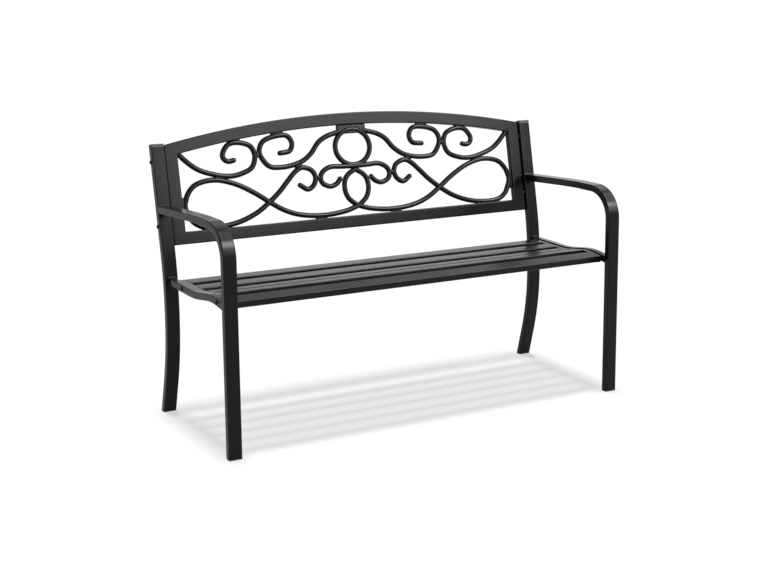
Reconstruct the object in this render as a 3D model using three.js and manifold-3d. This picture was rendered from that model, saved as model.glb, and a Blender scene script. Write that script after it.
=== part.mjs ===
// A steel garden bench: two side frames of bent rectangular tube, a slatted seat bolted
// between them and a leaning back whose arched frame holds welded scrollwork.
// Millimetres and degrees; +X runs along the bench, +Y to its back, +Z up.
import * as THREE from 'three';
import { mergeVertices } from 'three/addons/utils/BufferGeometryUtils.js';
import Module from 'manifold-3d';

const wasm = await Module();
wasm.setup();

// Frame tube, used for the side frames and the stiles
const BENCH_WIDTH = 1270;
const TUBE_ACROSS = 38;
const TUBE_DEPTH = 20;
const TUBE_CORNER = 3;
const TUBE_WALL = 1.2;
const WELD_GAP = 0.3;
const FIT = 0.3;

// Front leg and armrest, one bent tube
const LEG_RAKE_ANGLE = 3;
const ARM_TOP = 608;
const ARM_BEND_RADIUS = 85;
const ARM_CROWN_RADIUS = 1700;
const ARM_FALL_ANGLE = 4.5;

// Rear post: splayed foot, bowed middle, leaning top
const FOOT_SPREAD = 436;
const POST_SPLAY_ANGLE = 13;
const POST_LEAN_ANGLE = 13.8;
const POST_FOOT_RUN = 92;
const POST_LOW_RADIUS = 690;
const POST_HIGH_RADIUS = 985;
const POST_TOP_RUN = 269;

// Seat support rail, from the rear post to the front leg
const SUPPORT_SIZE = 20;
const SUPPORT_CORNER = 2.5;
const SUPPORT_HEIGHT = 385;
const SUPPORT_REAR_RUN = 150;
const SUPPORT_DISH_RADIUS = 350;
const SUPPORT_RISE_ANGLE = 9.5;
const SUPPORT_RISE_RUN = 54;
const SUPPORT_CREST_RADIUS = 220;
const SUPPORT_FALL_ANGLE = 7;
const SUPPORT_FRONT_RUN = 68;

// Seat: slats between two end bars
const SLAT_COUNT = 5;
const SLAT_WIDTH = 44;
const SLAT_THICKNESS = 19;
const SLAT_CORNER = 2.5;
const SLAT_PITCH = 69.5;
const FIRST_SLAT_RUN = 55;
const END_BAR_WIDTH = 16;
const SEAT_DROP = 3;
const SEAT_SIDE_GAP = 1.5;

// Back frame and its place on the posts
const BACK_SIDE_GAP = 2;
const BACK_SETBACK = 8;
const BACK_BELOW_POST_TOP = 236.5;
const BACK_RAIL_WIDTH = 35;
const BACK_OPENING_CROWN = 267.5;
const ARCH_RADIUS = 2960;
const PATTERN_LAP_LOW = 1.5;
const PATTERN_LAP_HIGH = 3.5;

// Scrollwork bars
const BAR_DIAMETER = 15.5;
const BAR_SIDES = 8;
const LUG_DEPTH = 10;
const PLATE_WIDTH = 96;
const PLATE_HEIGHT = 26.5;

// Caps
const FOOT_CAP_BASE = 3;
const FOOT_CAP_PLUG = 12;
const POST_CAP_HEAD = 9;
const POST_CAP_PLUG = 14;

// Bolts and the threaded inserts that they screw into
const BOLT_DIAMETER = 6;
const BOLT_HEAD_DIAMETER = 11;
const BOLT_HEAD_HEIGHT = 3.3;
const BOLT_REACH = 10;
// The head's skirt and shoulder, as shares of its height and of its radius
const BOLT_SKIRT_RISE = 0.35;
const BOLT_SHOULDER_RISE = 0.85;
const BOLT_SHOULDER_REACH = 0.7;
const INSERT_DIAMETER = 8;
const INSERT_LENGTH = 11;
const INSERT_FLANGE_DIAMETER = 11;
const INSERT_FLANGE = 1;
const ROUND_SIDES = 12;
const BACK_BOLT_HEIGHTS = [20.5, 197.5];
const SEAT_BOLT_REAR_INSET = 45;
const SEAT_BOLT_FRONT_INSET = 6;

const CHORD_ERROR = 0.3;
const PLACE_ERROR = 0.01;
const BAR_CHORD_ERROR = 0.6;
const BAR_TURN = 24;
const HALF_TURN = Math.PI;

// ---- Lines, sections and sweeps ----

/** How many chords follow an arc to within the chord error. */
function arcSteps(radius, angle) {
  return Math.max(2, Math.ceil(angle / (2 * Math.acos(1 - CHORD_ERROR / radius))));
}

/** A planar line of straights and bends in the side plane, walked from one end. */
class BentLine {
  constructor(y, z, headingDegrees) {
    this.pieces = [];
    this.length = 0;
    this.end = { y, z, heading: THREE.MathUtils.degToRad(headingDegrees) };
  }

  straight(run) {
    return this.add({ run, radius: 0, side: 0 });
  }

  /** Turns by an angle in degrees, positive from +Y towards +Z. */
  bend(radius, turnDegrees) {
    const turn = THREE.MathUtils.degToRad(turnDegrees);
    return this.add({ run: radius * Math.abs(turn), radius, side: Math.sign(turn) });
  }

  add(piece) {
    const placed = { ...piece, start: this.end, from: this.length };
    this.pieces.push(placed);
    this.length += piece.run;
    this.end = BentLine.advance(placed, piece.run);
    return this;
  }

  static advance(piece, run) {
    const { y, z, heading } = piece.start;
    if (piece.side === 0) {
      return { y: y + run * Math.cos(heading), z: z + run * Math.sin(heading), heading };
    }
    const turned = heading + (piece.side * run) / piece.radius;
    const reach = piece.side * piece.radius;
    return {
      y: y + reach * (Math.sin(turned) - Math.sin(heading)),
      z: z - reach * (Math.cos(turned) - Math.cos(heading)),
      heading: turned,
    };
  }

  /** The place and heading at a distance along the line. */
  at(distance) {
    const piece = this.pieces.findLast((each) => each.from <= distance) ?? this.pieces[0];
    return BentLine.advance(piece, distance - piece.from);
  }

  /** Distances to sample: the ends of each straight, and even steps round each bend. */
  stations() {
    const distances = [0];
    for (const piece of this.pieces) {
      const count = piece.side === 0 ? 1 : arcSteps(piece.radius, piece.run / piece.radius);
      for (let index = 1; index <= count; index += 1) {
        distances.push(piece.from + (piece.run * index) / count);
      }
    }
    return distances;
  }
}

/** A sweep path through stations, one extrusion step between each two, that never twists. */
class StationPath extends THREE.Curve {
  /** `across` is the fixed direction that a section's own x lies along. */
  constructor(points, tangents, across) {
    super();
    this.points = points;
    this.tangents = tangents;
    this.across = across;
  }

  static along(line) {
    const places = line.stations().map((distance) => line.at(distance));
    return new StationPath(
      places.map(({ y, z }) => new THREE.Vector3(0, y, z)),
      places.map(({ heading }) => new THREE.Vector3(0, Math.cos(heading), Math.sin(heading))),
      new THREE.Vector3(1, 0, 0),
    );
  }

  static between(from, to, across) {
    const tangent = to.clone().sub(from).normalize();
    return new StationPath([from, to], [tangent, tangent], across);
  }

  getPointAt(share, target = new THREE.Vector3()) {
    const place = share * (this.points.length - 1);
    const index = Math.min(Math.floor(place), this.points.length - 2);
    return target.lerpVectors(this.points[index], this.points[index + 1], place - index);
  }

  computeFrenetFrames() {
    return {
      tangents: this.tangents,
      normals: this.tangents.map(() => this.across),
      binormals: this.tangents.map((tangent) => new THREE.Vector3().crossVectors(tangent, this.across)),
    };
  }
}

/** A rounded rectangle, `across` lying square to the plane of the path it is swept along. */
function roundedSection(across, inPlane, corner, wall = 0) {
  const x = across / 2;
  const y = inPlane / 2;
  const quarter = Math.PI / 2;
  const shape = new THREE.Shape();
  shape.absarc(x - corner, y - corner, corner, 0, quarter);
  shape.absarc(corner - x, y - corner, corner, quarter, 2 * quarter);
  shape.absarc(corner - x, corner - y, corner, 2 * quarter, 3 * quarter);
  shape.absarc(x - corner, corner - y, corner, 3 * quarter, 4 * quarter);
  shape.closePath();
  if (wall > 0) {
    shape.holes.push(rectanglePath(across - 2 * wall, inPlane - 2 * wall));
  }
  return shape;
}

function rectanglePath(width, height) {
  const x = width / 2;
  const y = height / 2;
  const corners = [[-x, -y], [x, -y], [x, y], [-x, y]];
  return new THREE.Path(corners.map(([u, v]) => new THREE.Vector2(u, v)));
}

function roundSection(diameter) {
  const shape = new THREE.Shape();
  shape.absarc(0, 0, diameter / 2, 0, 2 * Math.PI);
  return shape;
}

function sweepStations(section, path, curveSegments = 1) {
  return solid(new THREE.ExtrudeGeometry(section, {
    steps: path.points.length - 1, curveSegments, bevelEnabled: false, extrudePath: path,
  }));
}

const sweepLine = (section, line) => sweepStations(section, StationPath.along(line));

// ---- Solids ----

/** A closed three.js geometry as a solid that can be joined and cut. */
function solid(geometry) {
  const plain = geometry.clone();
  plain.deleteAttribute('normal');
  plain.deleteAttribute('uv');
  const merged = mergeVertices(plain, 1e-4);
  const mesh = new wasm.Mesh({
    numProp: 3,
    vertProperties: new Float32Array(merged.attributes.position.array),
    triVerts: new Uint32Array(merged.index.array),
  });
  return new wasm.Manifold(mesh);
}

function geometryOf(manifold) {
  const mesh = manifold.getMesh();
  const geometry = new THREE.BufferGeometry();
  geometry.setAttribute('position', new THREE.BufferAttribute(mesh.vertProperties, 3));
  geometry.setIndex(new THREE.BufferAttribute(mesh.triVerts, 1));
  geometry.computeVertexNormals();
  return geometry;
}

function box(sizeX, sizeY, sizeZ, x = 0, y = 0, z = 0, turnY = 0) {
  const geometry = new THREE.BoxGeometry(sizeX, sizeY, sizeZ);
  geometry.rotateY(turnY);
  geometry.translate(x, y, z);
  return solid(geometry);
}

/** A round bar or bore along X, centred on its place. */
function rodAlongX(diameter, length, x = 0, y = 0, z = 0) {
  const geometry = new THREE.CylinderGeometry(diameter / 2, diameter / 2, length, ROUND_SIDES);
  geometry.rotateZ(HALF_TURN / 2);
  geometry.translate(x, y, z);
  return solid(geometry);
}

const join = (solids) => solids.reduce((whole, each) => whole.add(each));
const larger = (best, each) => (each.volume() > best.volume() ? each : best);
const mainPiece = (body) => body.decompose().reduce(larger);
/** Cuts tools out of a body and keeps its main piece, without offcuts. */
const cut = (body, tools) => mainPiece(tools.reduce((rest, tool) => rest.subtract(tool), body));
const mirrored = (body) => body.rotate([0, 0, 180]);

// ---- Materials ----

const coat = new THREE.MeshStandardMaterial({ color: 0x18191b, roughness: 0.42, metalness: 0.1 });
const plastic = new THREE.MeshStandardMaterial({ color: 0x0d0d0e, roughness: 0.6, metalness: 0 });
const hardware = new THREE.MeshStandardMaterial({ color: 0x222326, roughness: 0.35, metalness: 0.8 });
const zinc = new THREE.MeshStandardMaterial({ color: 0xa9adb2, roughness: 0.35, metalness: 0.9 });

const bench = new THREE.Group();

function place(parent, name, body, material, x = 0, y = 0, z = 0) {
  const mesh = new THREE.Mesh(geometryOf(body), material.clone());
  mesh.name = name;
  mesh.position.set(x, y, z);
  parent.add(mesh);
  return mesh;
}

// ---- Side frames ----

const tubeSection = roundedSection(TUBE_ACROSS, TUBE_DEPTH, TUBE_CORNER, TUBE_WALL);
const tubeClear = roundedSection(TUBE_ACROSS + 2 * WELD_GAP, TUBE_DEPTH + 2 * WELD_GAP, TUBE_CORNER);
const sideX = (BENCH_WIDTH - TUBE_ACROSS) / 2;
const legFootY = TUBE_DEPTH / 2;
const postFootY = legFootY + FOOT_SPREAD;

const legRake = THREE.MathUtils.degToRad(LEG_RAKE_ANGLE);
const legRise = ARM_TOP - TUBE_DEPTH / 2 - ARM_BEND_RADIUS;
const legRun = legRise / Math.cos(legRake) + ARM_BEND_RADIUS * Math.tan(legRake);

const postLine = new BentLine(postFootY, 0, 90 + POST_SPLAY_ANGLE)
  .straight(POST_FOOT_RUN)
  .bend(POST_LOW_RADIUS, -POST_SPLAY_ANGLE)
  .bend(POST_HIGH_RADIUS, -POST_LEAN_ANGLE)
  .straight(POST_TOP_RUN);

/** Where the post's centreline stands at a height. */
function postYAt(height) {
  let low = 0;
  let high = postLine.length;
  while (high - low > PLACE_ERROR) {
    const middle = (low + high) / 2;
    if (postLine.at(middle).z < height) {
      low = middle;
    } else {
      high = middle;
    }
  }
  return postLine.at(low).y;
}

const legLine = new BentLine(legFootY, 0, 90 - LEG_RAKE_ANGLE)
  .straight(legRun)
  .bend(ARM_BEND_RADIUS, LEG_RAKE_ANGLE - 90)
  .bend(ARM_CROWN_RADIUS, -ARM_FALL_ANGLE);
const armFall = THREE.MathUtils.degToRad(ARM_FALL_ANGLE);
const armJointY = postYAt(legLine.end.z - Math.tan(armFall) * (postFootY - legLine.end.y));
legLine.straight((armJointY - legLine.end.y) / Math.cos(armFall));

const supportLine = new BentLine(postYAt(SUPPORT_HEIGHT), SUPPORT_HEIGHT, 180)
  .straight(SUPPORT_REAR_RUN)
  .bend(SUPPORT_DISH_RADIUS, -SUPPORT_RISE_ANGLE)
  .straight(SUPPORT_RISE_RUN)
  .bend(SUPPORT_CREST_RADIUS, SUPPORT_RISE_ANGLE + SUPPORT_FALL_ANGLE)
  .straight(SUPPORT_FRONT_RUN);

const postClear = sweepLine(tubeClear, postLine);
const legClear = sweepLine(tubeClear, legLine);
const tubeFoot = FOOT_CAP_BASE + WELD_GAP;
const floorCut = box(2 * TUBE_ACROSS, 4 * TUBE_ACROSS, 2 * TUBE_ACROSS, 0, 0, tubeFoot - TUBE_ACROSS);
const boltHole = BOLT_DIAMETER + 2 * FIT;
const insertHole = INSERT_DIAMETER + 2 * FIT;

const backRun = postLine.length - BACK_BELOW_POST_TOP;
const backBolts = BACK_BOLT_HEIGHTS.map((height) => postLine.at(backRun + height));
const lastSlatRun = FIRST_SLAT_RUN + (SLAT_COUNT - 1) * SLAT_PITCH;
const seatBolts = [
  supportLine.at(FIRST_SLAT_RUN + SEAT_BOLT_REAR_INSET),
  supportLine.at(lastSlatRun - SEAT_BOLT_FRONT_INSET),
];

function floorCutAt(y) {
  return floorCut.translate([0, y, 0]);
}

/** Where a back bolt crosses the post: midway between the post's centreline and the back's. */
const backBoltPlace = ({ y, z, heading }) => ({
  y: y + (BACK_SETBACK / 2) * Math.sin(heading),
  z: z - (BACK_SETBACK / 2) * Math.cos(heading),
});
const rearPost = cut(sweepLine(tubeSection, postLine), [
  floorCutAt(postFootY),
  ...backBolts.map(backBoltPlace).map(({ y, z }) => rodAlongX(boltHole, 2 * TUBE_ACROSS, 0, y, z)),
]);
const armLeg = cut(sweepLine(tubeSection, legLine), [floorCutAt(legFootY), postClear]);
const supportSection = roundedSection(SUPPORT_SIZE, SUPPORT_SIZE, SUPPORT_CORNER, TUBE_WALL);
const seatSupport = cut(sweepLine(supportSection, supportLine), [
  postClear,
  legClear,
  ...seatBolts.map(({ y, z }) => rodAlongX(boltHole, 2 * SUPPORT_SIZE, 0, y, z)),
]);

const solidSection = roundedSection(TUBE_ACROSS, TUBE_DEPTH, TUBE_CORNER);
const insideTube = (size) => size - 2 * (TUBE_WALL + FIT);
const plugSection = roundedSection(insideTube(TUBE_ACROSS), insideTube(TUBE_DEPTH), 1);

/** A straight line that carries on along another from a distance. */
function straightAlong(line, from, run) {
  const { y, z, heading } = line.at(from);
  return new BentLine(y, z, THREE.MathUtils.radToDeg(heading)).straight(run);
}

/** A plastic foot: a base under the slanting end of a tube, and a plug up inside it. */
function footCap(line) {
  const stub = straightAlong(line, -TUBE_DEPTH, 3 * TUBE_DEPTH);
  const slab = (low, high) => box(
    2 * TUBE_ACROSS, 4 * TUBE_ACROSS, high - low, 0, line.at(0).y, (low + high) / 2,
  );
  const base = sweepLine(solidSection, stub).intersect(slab(0, FOOT_CAP_BASE));
  const plugTop = FOOT_CAP_BASE + FOOT_CAP_PLUG;
  const plug = sweepLine(plugSection, stub).intersect(slab(FOOT_CAP_BASE / 2, plugTop));
  return base.add(plug);
}

/** A plastic cap on a post: a head flush with the tube, and a plug down inside it. */
function postCap(line) {
  const head = straightAlong(line, line.length + WELD_GAP, POST_CAP_HEAD);
  const plug = straightAlong(line, line.length - POST_CAP_PLUG, POST_CAP_PLUG + POST_CAP_HEAD / 2);
  return sweepLine(solidSection, head).add(sweepLine(plugSection, plug));
}

const rearFoot = footCap(postLine);
const frontFoot = footCap(legLine);
const topCap = postCap(postLine);

for (const [side, direction] of [['left', -1], ['right', 1]]) {
  const frame = new THREE.Group();
  frame.position.x = direction * sideX;
  bench.add(frame);
  place(frame, `rear_post_${side}`, rearPost, coat);
  place(frame, `arm_and_front_leg_${side}`, armLeg, coat);
  place(frame, `seat_support_${side}`, seatSupport, coat);
  place(frame, `rear_foot_cap_${side}`, rearFoot, plastic);
  place(frame, `front_foot_cap_${side}`, frontFoot, plastic);
  place(frame, `post_cap_${side}`, topCap, plastic);
}

// ---- Bolts and inserts ----

/** A button-headed bolt whose head sits at x = 0 and whose shank runs towards -X. */
function bolt(grip) {
  const radius = BOLT_DIAMETER / 2;
  const headRadius = BOLT_HEAD_DIAMETER / 2;
  const length = grip + BOLT_REACH;
  const profile = [
    [0, -length],
    [radius, -length],
    [radius, 0],
    [headRadius, 0],
    [headRadius, BOLT_HEAD_HEIGHT * BOLT_SKIRT_RISE],
    [headRadius * BOLT_SHOULDER_REACH, BOLT_HEAD_HEIGHT * BOLT_SHOULDER_RISE],
    [0, BOLT_HEAD_HEIGHT],
  ];
  const geometry = new THREE.LatheGeometry(profile.map(([r, h]) => new THREE.Vector2(r, h)), ROUND_SIDES);
  geometry.rotateZ(-HALF_TURN / 2);
  return solid(geometry);
}

/** A threaded insert, its flange at x = 0 and its barrel towards -X. */
function threadedInsert() {
  const flange = rodAlongX(INSERT_FLANGE_DIAMETER, INSERT_FLANGE, INSERT_FLANGE / 2);
  const inFlange = INSERT_FLANGE / 2;
  const barrel = rodAlongX(INSERT_DIAMETER, INSERT_LENGTH + inFlange, (inFlange - INSERT_LENGTH) / 2);
  const bore = rodAlongX(boltHole, 3 * INSERT_LENGTH);
  return flange.add(barrel).subtract(bore);
}

const insert = threadedInsert();

/** Adds the pair of bolts and inserts that hold a panel to both side frames. */
function fasten(parent, name, body, headX, seatX, y, z) {
  for (const [side, direction] of [['left', -1], ['right', 1]]) {
    const turn = direction > 0 ? 0 : HALF_TURN;
    const head = place(parent, `${name}_bolt_${side}`, body, hardware, direction * headX, y, z);
    const nut = place(parent, `${name}_insert_${side}`, insert, zinc, direction * seatX, y, z);
    head.rotation.z = turn;
    nut.rotation.z = turn;
  }
}

// ---- Seat ----

const supportInnerX = sideX - SUPPORT_SIZE / 2;
const endBarOuterX = supportInnerX - SEAT_SIDE_GAP;
const endBarX = endBarOuterX - END_BAR_WIDTH / 2;
const seatLineDrop = SUPPORT_SIZE / 2 - SEAT_DROP - SLAT_THICKNESS / 2;
const slatPlaces = Array.from(
  { length: SLAT_COUNT },
  (_, index) => supportLine.at(FIRST_SLAT_RUN + index * SLAT_PITCH),
);
const slatLength = 2 * (endBarOuterX - END_BAR_WIDTH - WELD_GAP);

const seat = new THREE.Group();
seat.position.z = seatLineDrop;
bench.add(seat);

const seatBackRun = FIRST_SLAT_RUN - SLAT_WIDTH / 2;
const seatFrontRun = lastSlatRun + SLAT_WIDTH / 2;

/** The stretch of a line between two distances, as a line of its own. */
function stretch(line, from, to) {
  const first = line.at(from);
  const copy = new BentLine(first.y, first.z, THREE.MathUtils.radToDeg(first.heading));
  for (const piece of line.pieces) {
    const run = Math.min(to, piece.from + piece.run) - Math.max(from, piece.from);
    if (run > 0) {
      copy.add({ run, radius: piece.radius, side: piece.side });
    }
  }
  return copy;
}

const endBarSection = roundedSection(END_BAR_WIDTH, SLAT_THICKNESS, SLAT_CORNER, TUBE_WALL);
const endBarLine = stretch(supportLine, seatBackRun, seatFrontRun);
const endBar = (direction) => cut(sweepLine(endBarSection, endBarLine), seatBolts.map(
  ({ y, z }) => rodAlongX(insertHole, END_BAR_WIDTH, (direction * END_BAR_WIDTH) / 2, y, z - seatLineDrop),
));
place(seat, 'seat_end_bar_left', endBar(-1), coat, -endBarX);
place(seat, 'seat_end_bar_right', endBar(1), coat, endBarX);

const slatSection = roundedSection(SLAT_WIDTH, SLAT_THICKNESS, SLAT_CORNER, TUBE_WALL);
const slat = sweepStations(slatSection, StationPath.between(
  new THREE.Vector3(-slatLength / 2, 0, 0),
  new THREE.Vector3(slatLength / 2, 0, 0),
  new THREE.Vector3(0, 1, 0),
));
slatPlaces.forEach(({ y, z, heading }, index) => {
  const mesh = place(seat, `seat_slat_${index + 1}`, slat, coat, 0, y, z);
  mesh.rotation.x = heading - HALF_TURN;
});

const seatBolt = bolt(SUPPORT_SIZE + SEAT_SIDE_GAP);
seatBolts.forEach(({ y, z }, index) => {
  const name = `seat_${['rear', 'front'][index]}`;
  const headX = sideX + SUPPORT_SIZE / 2 + WELD_GAP;
  fasten(bench, name, seatBolt, headX, endBarOuterX + WELD_GAP, y, z);
});

// ---- Back frame ----
// Its group stands on the top edge of the bottom rail and leans with the posts.

const back = new THREE.Group();
const backPlace = postLine.at(backRun);
const lean = THREE.MathUtils.degToRad(POST_LEAN_ANGLE);
back.position.set(
  0,
  backPlace.y + BACK_SETBACK * Math.cos(lean),
  backPlace.z - BACK_SETBACK * Math.sin(lean),
);
back.rotation.x = -lean;
bench.add(back);

const backHalf = sideX - TUBE_ACROSS / 2 - BACK_SIDE_GAP;
const openHalf = backHalf - TUBE_ACROSS;
const archCentre = BACK_OPENING_CROWN + BACK_RAIL_WIDTH - ARCH_RADIUS;
const archHeight = (x, radius) => archCentre + Math.sqrt(radius * radius - x * x);
const innerArch = ARCH_RADIUS - BACK_RAIL_WIDTH;
const innerCorner = archHeight(openHalf, innerArch);
const outerCorner = archHeight(backHalf, ARCH_RADIUS);

/** A block whose face lies on the mitre between two corners of the right-hand stile. */
function mitreBlock(innerZ, outerZ, above) {
  const size = 4 * TUBE_ACROSS;
  const angle = Math.atan2(outerZ - innerZ, backHalf - openHalf);
  const offset = (size - WELD_GAP) / 2 * (above ? 1 : -1);
  const x = (openHalf + backHalf) / 2 - offset * Math.sin(angle);
  const z = (innerZ + outerZ) / 2 + offset * Math.cos(angle);
  return box(size, size, size, x, 0, z, -angle);
}

const topMitre = (above) => mitreBlock(innerCorner, outerCorner, above);
const lowMitre = (above) => mitreBlock(0, -BACK_RAIL_WIDTH, above);
const bothEnds = (block) => [block, mirrored(block)];

const outOfBack = new THREE.Vector3(0, 1, 0);

/** An arched rail across the back, in its upright plane. */
function archRail(section, radius) {
  const reach = backHalf + TUBE_ACROSS;
  const half = Math.asin(reach / radius);
  const count = arcSteps(radius, 2 * half);
  const angles = Array.from({ length: count + 1 }, (_, index) => half * (1 - (2 * index) / count));
  return sweepStations(section, new StationPath(
    angles.map((angle) => new THREE.Vector3(-Math.sin(angle), 0, Math.cos(angle)).multiplyScalar(radius)
      .add(new THREE.Vector3(0, 0, archCentre))),
    angles.map((angle) => new THREE.Vector3(Math.cos(angle), 0, Math.sin(angle))),
    outOfBack,
  ));
}

const railSection = (grow, wall) => roundedSection(
  TUBE_DEPTH + 2 * grow, BACK_RAIL_WIDTH + 2 * grow, TUBE_CORNER, wall,
);
const stileSection = (grow, wall) => roundedSection(
  TUBE_DEPTH + 2 * grow, TUBE_ACROSS + 2 * grow, TUBE_CORNER, wall,
);
const archMiddle = ARCH_RADIUS - BACK_RAIL_WIDTH / 2;
const lowRailZ = -BACK_RAIL_WIDTH / 2;
const lowRail = (section) => sweepStations(section, StationPath.between(
  new THREE.Vector3(-backHalf - TUBE_ACROSS, 0, lowRailZ),
  new THREE.Vector3(backHalf + TUBE_ACROSS, 0, lowRailZ),
  outOfBack,
));
const stileX = backHalf - TUBE_ACROSS / 2;
const stile = (section) => sweepStations(section, StationPath.between(
  new THREE.Vector3(stileX, 0, -BACK_RAIL_WIDTH - TUBE_ACROSS),
  new THREE.Vector3(stileX, 0, outerCorner + TUBE_ACROSS),
  outOfBack,
));

const railTube = railSection(0, TUBE_WALL);
place(back, 'back_top_rail', cut(archRail(railTube, archMiddle), bothEnds(topMitre(false))), coat);
place(back, 'back_bottom_rail', cut(lowRail(railTube), bothEnds(lowMitre(true))), coat);

const stileBody = (direction) => {
  const holes = BACK_BOLT_HEIGHTS.map(
    (height) => rodAlongX(insertHole, TUBE_ACROSS, backHalf, (direction * -BACK_SETBACK) / 2, height),
  );
  const right = cut(stile(stileSection(0, TUBE_WALL)), [topMitre(true), lowMitre(false), ...holes]);
  return direction > 0 ? right : mirrored(right);
};
place(back, 'back_stile_left', stileBody(-1), coat);
place(back, 'back_stile_right', stileBody(1), coat);

const backBolt = bolt(TUBE_ACROSS + BACK_SIDE_GAP);
BACK_BOLT_HEIGHTS.forEach((height, index) => {
  const name = `back_${['lower', 'upper'][index]}`;
  const headX = sideX + TUBE_ACROSS / 2 + WELD_GAP;
  fasten(back, name, backBolt, headX, backHalf + WELD_GAP, -BACK_SETBACK / 2, height);
});

// ---- Scrollwork ----
// The pattern fills the opening, so its places are in hundredths: across, of the opening's half
// width, and up, of its crown's height with the laps onto the rails, which start a little below
// the opening and end a little above it. Only the right-hand half is given.

const fitX = (x) => (x * openHalf) / 100;
const patternHeight = PATTERN_LAP_LOW + BACK_OPENING_CROWN + PATTERN_LAP_HIGH;
const fitZ = (z) => (z * patternHeight) / 100 - PATTERN_LAP_LOW;
const fitPlaces = (places) => places.map(([x, z]) => [fitX(x), fitZ(z)]);
/** Lugs also have a width and a height, in millimetres. */
const fitLugs = (lugs) => lugs.map(([x, z, width, height]) => [fitX(x), fitZ(z), width, height]);

const OUTER_SCROLL = fitPlaces([
  [101, 85.5], [98, 77], [90, 63], [80, 55.5], [72, 53.1], [65, 55.3], [59.4, 61], [57.4, 73],
  [59.5, 82.6], [67, 87.3], [72, 85.2], [75.3, 75], [74.2, 70], [72, 68.3], [69.4, 69.2],
]);
const INNER_SCROLL = fitPlaces([
  [7, 92], [10, 90.4], [15, 87.6], [20, 82], [25, 70.7], [30, 63.6], [35, 60.2], [43, 58.2],
  [50, 60.5], [54.6, 75], [52.5, 85.7], [45, 91.2], [38, 90.7], [35.6, 83], [37.1, 75.2], [43, 73.1],
]);
const CURL = fitPlaces([
  [33.3, 37.8], [29, 32.8], [25.4, 36.7], [23.9, 44.2], [25.5, 52], [31, 56.3], [35, 53],
  [40, 43.8], [45, 33.8], [51.8, 22.9], [60, 12.5], [71, 4.7], [83, 2.2], [91, 4.4], [95.5, 11.2],
  [98.3, 25], [97.1, 35],
]);
const LOOP_TOP = fitPlaces([
  [95.5, 11.2], [98.3, 25], [97.1, 35], [93.2, 45], [88, 49.3], [80, 50.2],
  [70, 44.7], [60, 34.1], [51.8, 22.9],
]);
const VALLEY = fitPlaces([
  [51.8, 22.9], [45, 14.3], [38, 8.4], [30, 5], [22, 3.8], [14, 4.5], [6, 7], [0, 10.8],
]);
const TEARDROP = fitPlaces([[0, 10], [5.6, 20], [7.2, 30], [6.4, 40], [4.2, 45.3], [0, 50.3]]);
const MOUSTACHE = fitPlaces([
  [9.5, 41], [11.3, 36.8], [15, 33.9], [18, 35.2], [20.2, 38.3], [20.9, 44.2], [19.5, 49.7],
  [15, 54.4], [8, 54.3], [0, 53.8],
]);
const RING_SIDE = fitX(10.4);
const RING_FOOT = fitZ(55.3);
const RING_TOP = fitZ(93.7);

const OUTER_LUGS = fitLugs([[68.5, 90, 40, 12], [78.3, 52.3, 30, 12], [56, 73, 12, 16]]);
const INNER_LUGS = fitLugs([[43.8, 94.6, 40, 12], [33.3, 58.5, 24, 14]]);
const CURL_LUGS = fitLugs([[99.6, 24.5, 12, 58], [82.7, 0, 88, 10]]);
const VALLEY_LUGS = fitLugs([[22.8, 1.5, 38, 10]]);
const TEARDROP_LUGS = fitLugs([[8, 40.3, 10, 7]]);
const MOUSTACHE_LUGS = fitLugs([[22.4, 44.4, 14, 10]]);

/** A sweep path along a smooth curve through places, with its steps closest where it turns. */
function barPath(places) {
  const knots = places.map(([x, z]) => new THREE.Vector3(x, 0, z));
  const curve = new THREE.CatmullRomCurve3(knots, false, 'centripetal');
  const count = Math.ceil(curve.getLength() / 2);
  const points = curve.getSpacedPoints(count);
  const tangents = points.map((_, index) => curve.getTangentAt(index / count));
  const picked = [0];
  for (let index = 1; index < count; index += 1) {
    const turn = tangents[index + 1].angleTo(tangents[picked.at(-1)]);
    const run = points[index + 1].distanceTo(points[picked.at(-1)]);
    if ((run * turn) / 8 > BAR_CHORD_ERROR || turn > THREE.MathUtils.degToRad(BAR_TURN)) {
      picked.push(index);
    }
  }
  picked.push(count);
  const kept = (values) => picked.map((index) => values[index]);
  return new StationPath(kept(points), kept(tangents), outOfBack);
}

/** A round bar along a curve in the back's plane; a tip gets a ball end. */
function bar(places, diameter, tips = []) {
  const rod = sweepStations(roundSection(diameter), barPath(places), BAR_SIDES / 2);
  const balls = tips.map(([x, z]) => {
    const ball = new THREE.SphereGeometry(diameter / 2, BAR_SIDES, BAR_SIDES / 2);
    ball.translate(x, 0, z);
    return solid(ball);
  });
  return join([rod, ...balls]);
}

const lug = ([x, z, width, height]) => box(width, LUG_DEPTH, height, x, 0, z);
const thick = BAR_DIAMETER + 2 * WELD_GAP;
const atPlate = PLATE_WIDTH / 2 + WELD_GAP;

const ringHalf = (diameter) => {
  const turns = 12;
  const places = Array.from({ length: turns + 1 }, (_, index) => {
    const angle = (Math.PI * index) / turns;
    return [
      RING_SIDE * Math.sin(angle),
      (RING_TOP + RING_FOOT) / 2 + ((RING_TOP - RING_FOOT) / 2) * Math.cos(angle),
    ];
  });
  return bar(places, diameter);
};
/** Joins the right-hand half of a loop to its mirror image. */
const loop = (half) => half.add(mirrored(half));

const frameClear = [
  archRail(railSection(WELD_GAP, 0), archMiddle),
  lowRail(railSection(WELD_GAP, 0)),
  stile(stileSection(WELD_GAP, 0)),
];
const ringClear = loop(ringHalf(thick));
const moustacheClear = loop(bar(MOUSTACHE, thick, [MOUSTACHE[0]]));
const teardropClear = loop(bar(TEARDROP, thick));
const curlClear = bar(CURL, thick);
const outerClear = bar(OUTER_SCROLL, thick);
const innerClear = bar(INNER_SCROLL, thick);
const acrossMiddle = box(BENCH_WIDTH, TUBE_ACROSS, BENCH_WIDTH, WELD_GAP / 2 - BENCH_WIDTH / 2);

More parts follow.
